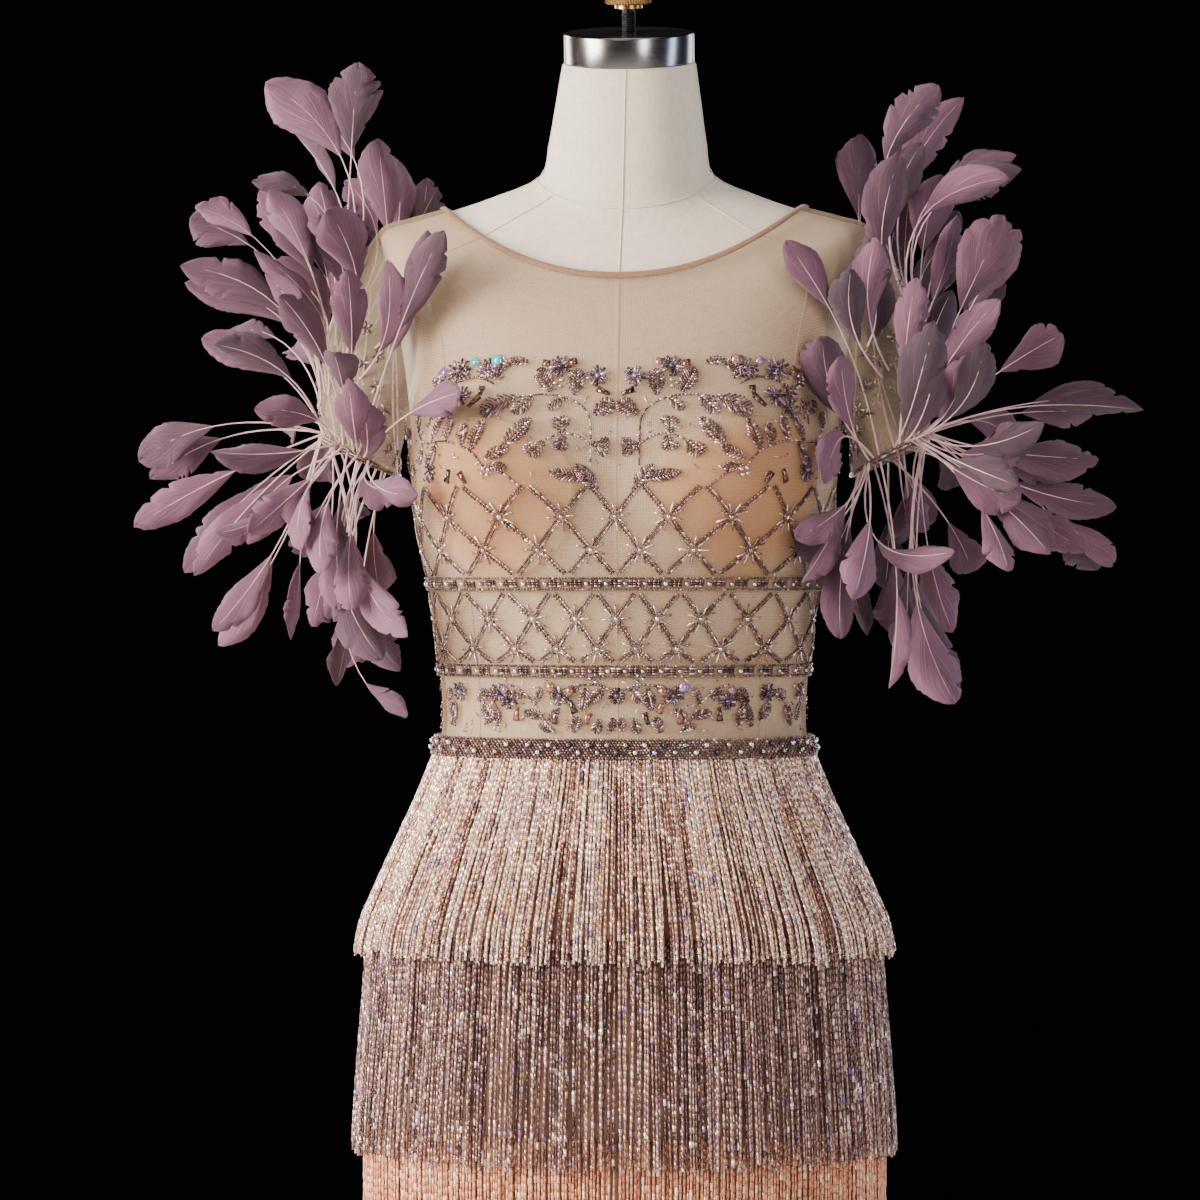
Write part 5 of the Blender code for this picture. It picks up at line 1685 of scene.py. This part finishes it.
MIDRIFF_FIGURES = (
    ("flower", 0, 1066, 0, 6, 6),
    ("leaf", 9, 1072, 140, 15, 7),
    ("leaf", 21, 1072, 168, 17, 8),
    ("leaf", 27, 1073, 120, 8, 5),
    ("leaf", 12, 1050, 165, 11, 7),
    ("leaf", 49, 1048, -42, 13, 5),
    ("leaf", 52, 1051, 74, 14, 6),
    ("leaf", 58, 1060, -24, 13, 5),
    ("leaf", 64, 1066, 84, 13, 5),
    ("leaf", 31, 1040, -20, 12, 7),
    ("leaf", 44, 1041, 66, 12, 5),
    ("flower", 40, 1066, 0, 5, 7),
    ("flower", 77, 1062, 20, 5, 6),
    ("stone", 33, 1063, -160, 9, 0),
    ("stone", 43, 1056, 172, 9, 0),
    ("stone", 71, 1058, 176, 9, 0),
    ("square", 33, 1069, 45, 5, 0),
    ("square", 47, 1072, 15, 5, 0),
    ("square", 80, 1070, 45, 4, 0),
    ("crystals", 16, 1078, 0, 3, 0),
    ("leaf", 4, 1041, -8, 10, 6),
    ("leaf", 84, 1044, 15, 15, 6),
    ("leaf", 90, 1060, -25, 13, 6),
    ("stone", 22, 1046, -20, 8, 0),
    ("stone", 86, 1056, 30, 8, 0),
    ("bugle", 24, 1062, 80, 6, 0),
    ("bugle", 66, 1051, 50, 6, 0),
    ("bugle", 58, 1072, 20, 5, 0),
)

# A sprig nearer the side seams: each leaf's place across in millimetres, height, lean and length
MIDRIFF_SPRIG = ((0, 1.044, -20, 18), (6, 1.048, 35, 15), (-7, 1.062, -50, 12))


def sew_top(sewing):
    """The top of the beading: stems with their leaves, flowers and stones, alike on both sides and behind."""
    for behind in (False, True):
        for flip in (1, -1):
            for stem in STEMS:
                sewing.trail("round_bugle", "rose", stem, 2.3, 1.5, flip, behind)
            for kind, across, height, lean, size, more in FIGURES:
                sewing.face(across, height, -math.radians(lean), flip, behind)
                sew_figure(sewing, kind, 1.16 * size if kind == "leaf" else size, 1.28 * more)
    for side in (-1, 1):
        for k in range(5):
            height = 1.222 + 0.009 * k
            sewing.move(side * (math.pi / 2 + 0.2 * (k % 3 - 1)), height, (k - 2) * 0.6)
            sew_figure(sewing, ("leaf", "flower")[k % 2], (15, 5)[k % 2], 7)
    scatter(sewing, 1.216, 1.262, 150)


def sew_midriff(sewing):
    """The midriff's beading between the lattice and the waistband, alike on both sides and behind."""
    for behind in (False, True):
        for flip in (1, -1):
            for stem in MIDRIFF_STEMS:
                sewing.trail("round_bugle", "rose", stem, 2.3, 1.5, flip, behind)
            for kind, across, height, lean, size, more in MIDRIFF_FIGURES:
                sewing.face(across, height, -math.radians(lean), flip, behind)
                sew_figure(sewing, kind, size, more)
            for turn in (0.95, 1.25):
                heading = flip * (math.pi - turn if behind else turn)
                for across, height, lean, size in MIDRIFF_SPRIG:
                    sewing.move(heading + across * MM / USUAL_RADIUS, height, -math.radians(lean), flip)
                    sew_figure(sewing, "leaf", size, 7)
                sewing.move(heading + 0.1, 1.068)
                sew_figure(sewing, "flower", 5, 7)
    scatter(sewing, 1.040, 1.077, 200)


# The underskirt


class DRESS_OT_skirt(bpy.types.Operator):
    """Makes the crepe underskirt"""

    bl_idname = "dress.skirt"
    bl_label = "Underskirt"

    def execute(self, context):
        look = context.scene.dress_settings
        crepe = cloth_finish("Stretch crepe", look.crepe, "#7F5C4C", 0.8 * MM, 0.85, 0.25)
        low, high = SKIRT_SECTIONS[0][0], SKIRT_SECTIONS[-1][0]
        for name, middle in (("front", 0.0), ("back", math.pi)):

            def point_at(across, up, middle=middle):
                turn = middle + (2 * across - 1) * (math.pi / 2 - SEAM_TURN)
                return skirt_point(turn, low + (high - low) * up)

            size = (0.5, high - low)
            made = add_cloth(
                "underskirt_" + name, point_at, 60, 44, size, 1.2 * MM, crepe, ("skirt_" + name,), "skirt"
            )
            made.modifiers["Wall"].offset = -1.0
        return {"FINISHED"}


# The fringe


def hanging_point(turn, start, end, share):
    """A point of a strand between two places on the skirt: straight, or over the skirt where it bulges."""
    (high, out_high), (low, out_low) = start, end
    straight = skirt_point(turn, high, out_high).lerp(skirt_point(turn, low, out_low), share)
    over = skirt_point(turn, high + (low - high) * share, out_high + (out_low - out_high) * share)
    return max(straight, over, key=lambda point: point.xy.length)


# Each tier's shades from dark to light: most are the strands' own, and the last few are glints
FRINGE_STEPS = {
    "fringe_upper": (
        *((0.0, "#5A3A38"), (0.16, "#94695F"), (0.32, "#D9AE9B"), (0.5, "#FFDCC8"), (0.8, "#FFF2E6")),
        *((0.86, "#8E6FB4"), (0.93, "#E6BC84"), (1.0, "#FFFFFF")),
    ),
    "fringe_middle": (
        *((0.0, "#3A2628"), (0.25, "#6E5150"), (0.5, "#A5837C"), (0.8, "#D8B3A6")),
        *((0.86, "#8468A8"), (0.93, "#E8C6B6"), (1.0, "#FFFFFF")),
    ),
    "fringe_lower": (
        *((0.0, "#B87456"), (0.4, "#D8946E"), (0.8, "#EEB190")),
        *((0.9, "#F4C8AE"), (1.0, "#FFEDE2")),
    ),
}
# Each tier's glass: its name, roughness, metallic lining and slot
FRINGE_GLASS = {
    "fringe_upper": ("Silver-lined bugle", 0.23, 0.7, "fringe_silver"),
    "fringe_middle": ("Taupe lustre bugle", 0.28, 0.65, "fringe_mauve"),
    "fringe_lower": ("Peach lustre bugle", 0.5, 0.2, "fringe_peach"),
}


class DRESS_OT_fringe(bpy.types.Operator):
    """Makes the three tiers of beaded fringe, each on its tape"""

    bl_idname = "dress.fringe"
    bl_label = "Fringe"

    def execute(self, context):
        look = context.scene.dress_settings
        # The tapes are dark brown. This is painted shade for the shadow that falls under the waistband.
        tape = cloth_finish("Fringe tape", "#6E4A3C", "#553629", 0.7 * MM, 0.8, 0.25)
        for name in FRINGES:
            add_tier(name, look, tape)
        return {"FINISHED"}


def add_tier(name, look, tape_look):
    """A tier of fringe: strands of beads that hang from a tape round the skirt."""
    top, ends, out_top, out_ends, strands, bead, wide = FRINGES[name]
    title, roughness, metallic, slot = FRINGE_GLASS[name]

    def tape(across, up):
        return skirt_point(math.pi * (2 * across - 1), top - FRINGE_TAPE * (1 - up), 0.4 * MM)

    add_cloth(name + "_tape", tape, 180, 3, (1.0, FRINGE_TAPE), 0.9 * MM, tape_look, joined=True)
    draw = random.Random(name)
    start = top + FRINGE_START
    places, shades = [], []
    for strand in range(strands):
        turn = 2 * math.pi * (strand + draw.uniform(-0.25, 0.25)) / strands
        turn -= FRINGE_SPREAD * math.sin(2 * turn)
        bottom = ends + draw.triangular(-1, 1, 0) * look.tip_jag
        stray = draw.gauss(0, 1) * look.sway / 0.15
        lift = abs(draw.gauss(0, 0.8)) * MM + (0.9 * MM if strand % 2 else 0.0)
        count = round((start - bottom) / bead)
        tone, phase = draw.random(), draw.uniform(0.1, 0.9)
        run = draw.random()
        line = []
        for share in [0.0, *((k + phase) / count for k in range(count)), 1.0]:
            bend = turn + stray * share**1.6 * 0.55
            line.append(hanging_point(bend, (start, out_top + lift * 0.5), (bottom, out_ends + lift), share))
        for high, low in zip(line, line[1:]):
            middle, along = (high + low) / 2, low - high
            spun = Matrix.Rotation(draw.uniform(0, 2.1), 3, along)
            out = spun @ Vector((middle.x, middle.y, 0)).normalized()
            places.append(put(middle, along, out, along.length - BEAD_GAP, wide, wide))
            # Beads take the strand's tone and that of the run they are in, and about one in eight glints
            if draw.random() < 0.4:
                run = draw.random()
            glint = draw.random() < 0.13
            shades.append(draw.uniform(0.84, 1.0) if glint else 0.5 * tone + 0.34 * run)
    finish = glass_finish(title, FRINGE_STEPS[name], roughness, metallic)
    join_beads(name + "_strands", "bugle", places, shades, finish, (name,))


# The cloth's cuts: a step that does nothing


class DRESS_OT_cut(bpy.types.Operator):
    """A step for the cloth's cuts, which makes no change"""

    bl_idname = "dress.cut"
    bl_label = "Cloth cuts"

    def execute(self, context):
        return {"FINISHED"}


# The studio

# The lights: name, angle round from the camera's side in degrees, distance, height and size in metres,
# share of the main power, and colour. All aim at the middle of the dress.
SOFTBOXES = (
    ("Key", -66, 2.2, 1.7, (1.0, 1.7), 1.75, "#FFF4E8"),
    ("Front strip", 26, 2.6, 1.5, (0.5, 1.8), 0.36, "#FFF6EE"),
    ("Fill", -15, 3.4, 2.3, (1.6, 1.0), 0.1, "#FFF6EC"),
    ("Rim", 83, 2.2, 1.5, (0.4, 1.8), 0.14, "#DCE6FF"),
    ("Back left", -140, 2.4, 1.9, (0.8, 1.6), 0.4, "#FFF4E8"),
    ("Back right", 140, 2.4, 1.9, (0.8, 1.6), 0.16, "#F4F0FF"),
    ("Top", 0, 0.4, 3.2, (1.6, 1.2), 0.1, "#FFFFFF"),
    ("Floor fill", 180, 2.6, 1.4, (1.6, 1.2), 0.2, "#FFFFFF"),
)
DRESS_MIDDLE = Vector((0, 0, 1.12))


class DRESS_OT_stage(bpy.types.Operator):
    """Sets the floor, the studio lights and the camera"""

    bl_idname = "dress.stage"
    bl_label = "Floor, lights and camera"

    def execute(self, context):
        look = context.scene.dress_settings
        add_floor()
        world = bpy.data.worlds.new("Dark studio")
        world.use_nodes = True
        background = world.node_tree.nodes["Background"].inputs
        background["Color"].default_value = linear("#050506")
        background["Strength"].default_value = 1.0
        context.scene.world = world
        for name, azimuth, distance, height, size, share, colour in SOFTBOXES:
            softbox(name, azimuth, distance, height, size, look.light * share, colour)
        add_camera(context)
        return {"FINISHED"}


def softbox(name, azimuth, distance, height, size, power, colour):
    """A soft studio light at an angle from the camera's side, aimed at the dress."""
    light = bpy.data.lights.new(name, "AREA")
    light.shape = "RECTANGLE"
    light.size, light.size_y = size
    light.energy = power
    light.color = linear(colour)[:3]
    angle = math.radians(azimuth) + CAMERA_AZIMUTH
    place = Vector((distance * math.sin(angle), -distance * math.cos(angle), height))
    holder = bpy.data.objects.new(name, light)
    holder.location = place
    holder.rotation_euler = (DRESS_MIDDLE - place).to_track_quat("-Z", "Y").to_euler()
    bpy.context.scene.collection.objects.link(holder)


def add_floor():
    """A pale, smooth studio floor."""
    made, tree, shader = new_finish("Studio floor", Roughness=0.7)
    place = add_node(tree, "ShaderNodeTexCoord")
    cloudy = add_node(tree, "ShaderNodeTexNoise", inputs={"Vector": place.outputs["Object"], "Scale": 3.0})
    tint(tree, shader, cloudy.outputs["Fac"], ((0.3, "#D6D3CE"), (0.7, "#DEDBD7")))
    bm = bmesh.new()
    bmesh.ops.create_circle(bm, cap_ends=True, segments=128, radius=4.0)
    mesh = to_mesh("studio_floor", bm)
    mesh.materials.append(made)
    floor = bpy.data.objects.new("studio_floor", mesh)
    bpy.context.scene.collection.objects.link(floor)


def add_camera(context):
    """The camera at the photo's place, level, a little to the dress's left."""
    camera = bpy.data.cameras.new("Camera")
    camera.sensor_width = 36
    camera.lens = 18 / (HALF_VIEW / CAMERA_DISTANCE)
    holder = bpy.data.objects.new("Camera", camera)
    side = Vector((math.cos(CAMERA_AZIMUTH), math.sin(CAMERA_AZIMUTH), 0))
    away = Vector((math.sin(CAMERA_AZIMUTH), -math.cos(CAMERA_AZIMUTH), 0))
    holder.location = away * CAMERA_DISTANCE - side * CAMERA_SIDE + Vector((0, 0, CAMERA_HEIGHT))
    holder.rotation_euler = (math.pi / 2, 0, CAMERA_AZIMUTH)
    context.scene.collection.objects.link(holder)
    context.scene.camera = holder


# The panel and the run

STEPS = ("form", "bodice", "sleeves", "feathers", "beading", "skirt", "fringe", "cut", "stage")


class DRESS_PT_panel(bpy.types.Panel):
    """Lists the dress's settings and its pieces"""

    bl_idname = "DRESS_PT_panel"
    bl_label = "Dress"
    bl_space_type = "VIEW_3D"
    bl_region_type = "UI"
    bl_category = "Dress"

    def draw(self, context):
        look = context.scene.dress_settings
        for name in DressSettings.__annotations__:
            self.layout.prop(look, name)
        for step in STEPS:
            self.layout.operator("dress." + step)


CLASSES = (
    DressSettings,
    DRESS_OT_form,
    DRESS_OT_bodice,
    DRESS_OT_sleeves,
    DRESS_OT_feathers,
    DRESS_OT_beading,
    DRESS_OT_skirt,
    DRESS_OT_fringe,
    DRESS_OT_cut,
    DRESS_OT_stage,
    DRESS_PT_panel,
)


def register():
    for item in CLASSES:
        bpy.utils.register_class(item)
    bpy.types.Scene.dress_settings = bpy.props.PointerProperty(type=DressSettings)


def unregister():
    del bpy.types.Scene.dress_settings
    for item in reversed(CLASSES):
        bpy.utils.unregister_class(item)


def main():
    register()
    for step in STEPS:
        getattr(bpy.ops.dress, step)()


if __name__ == "__main__":
    main()
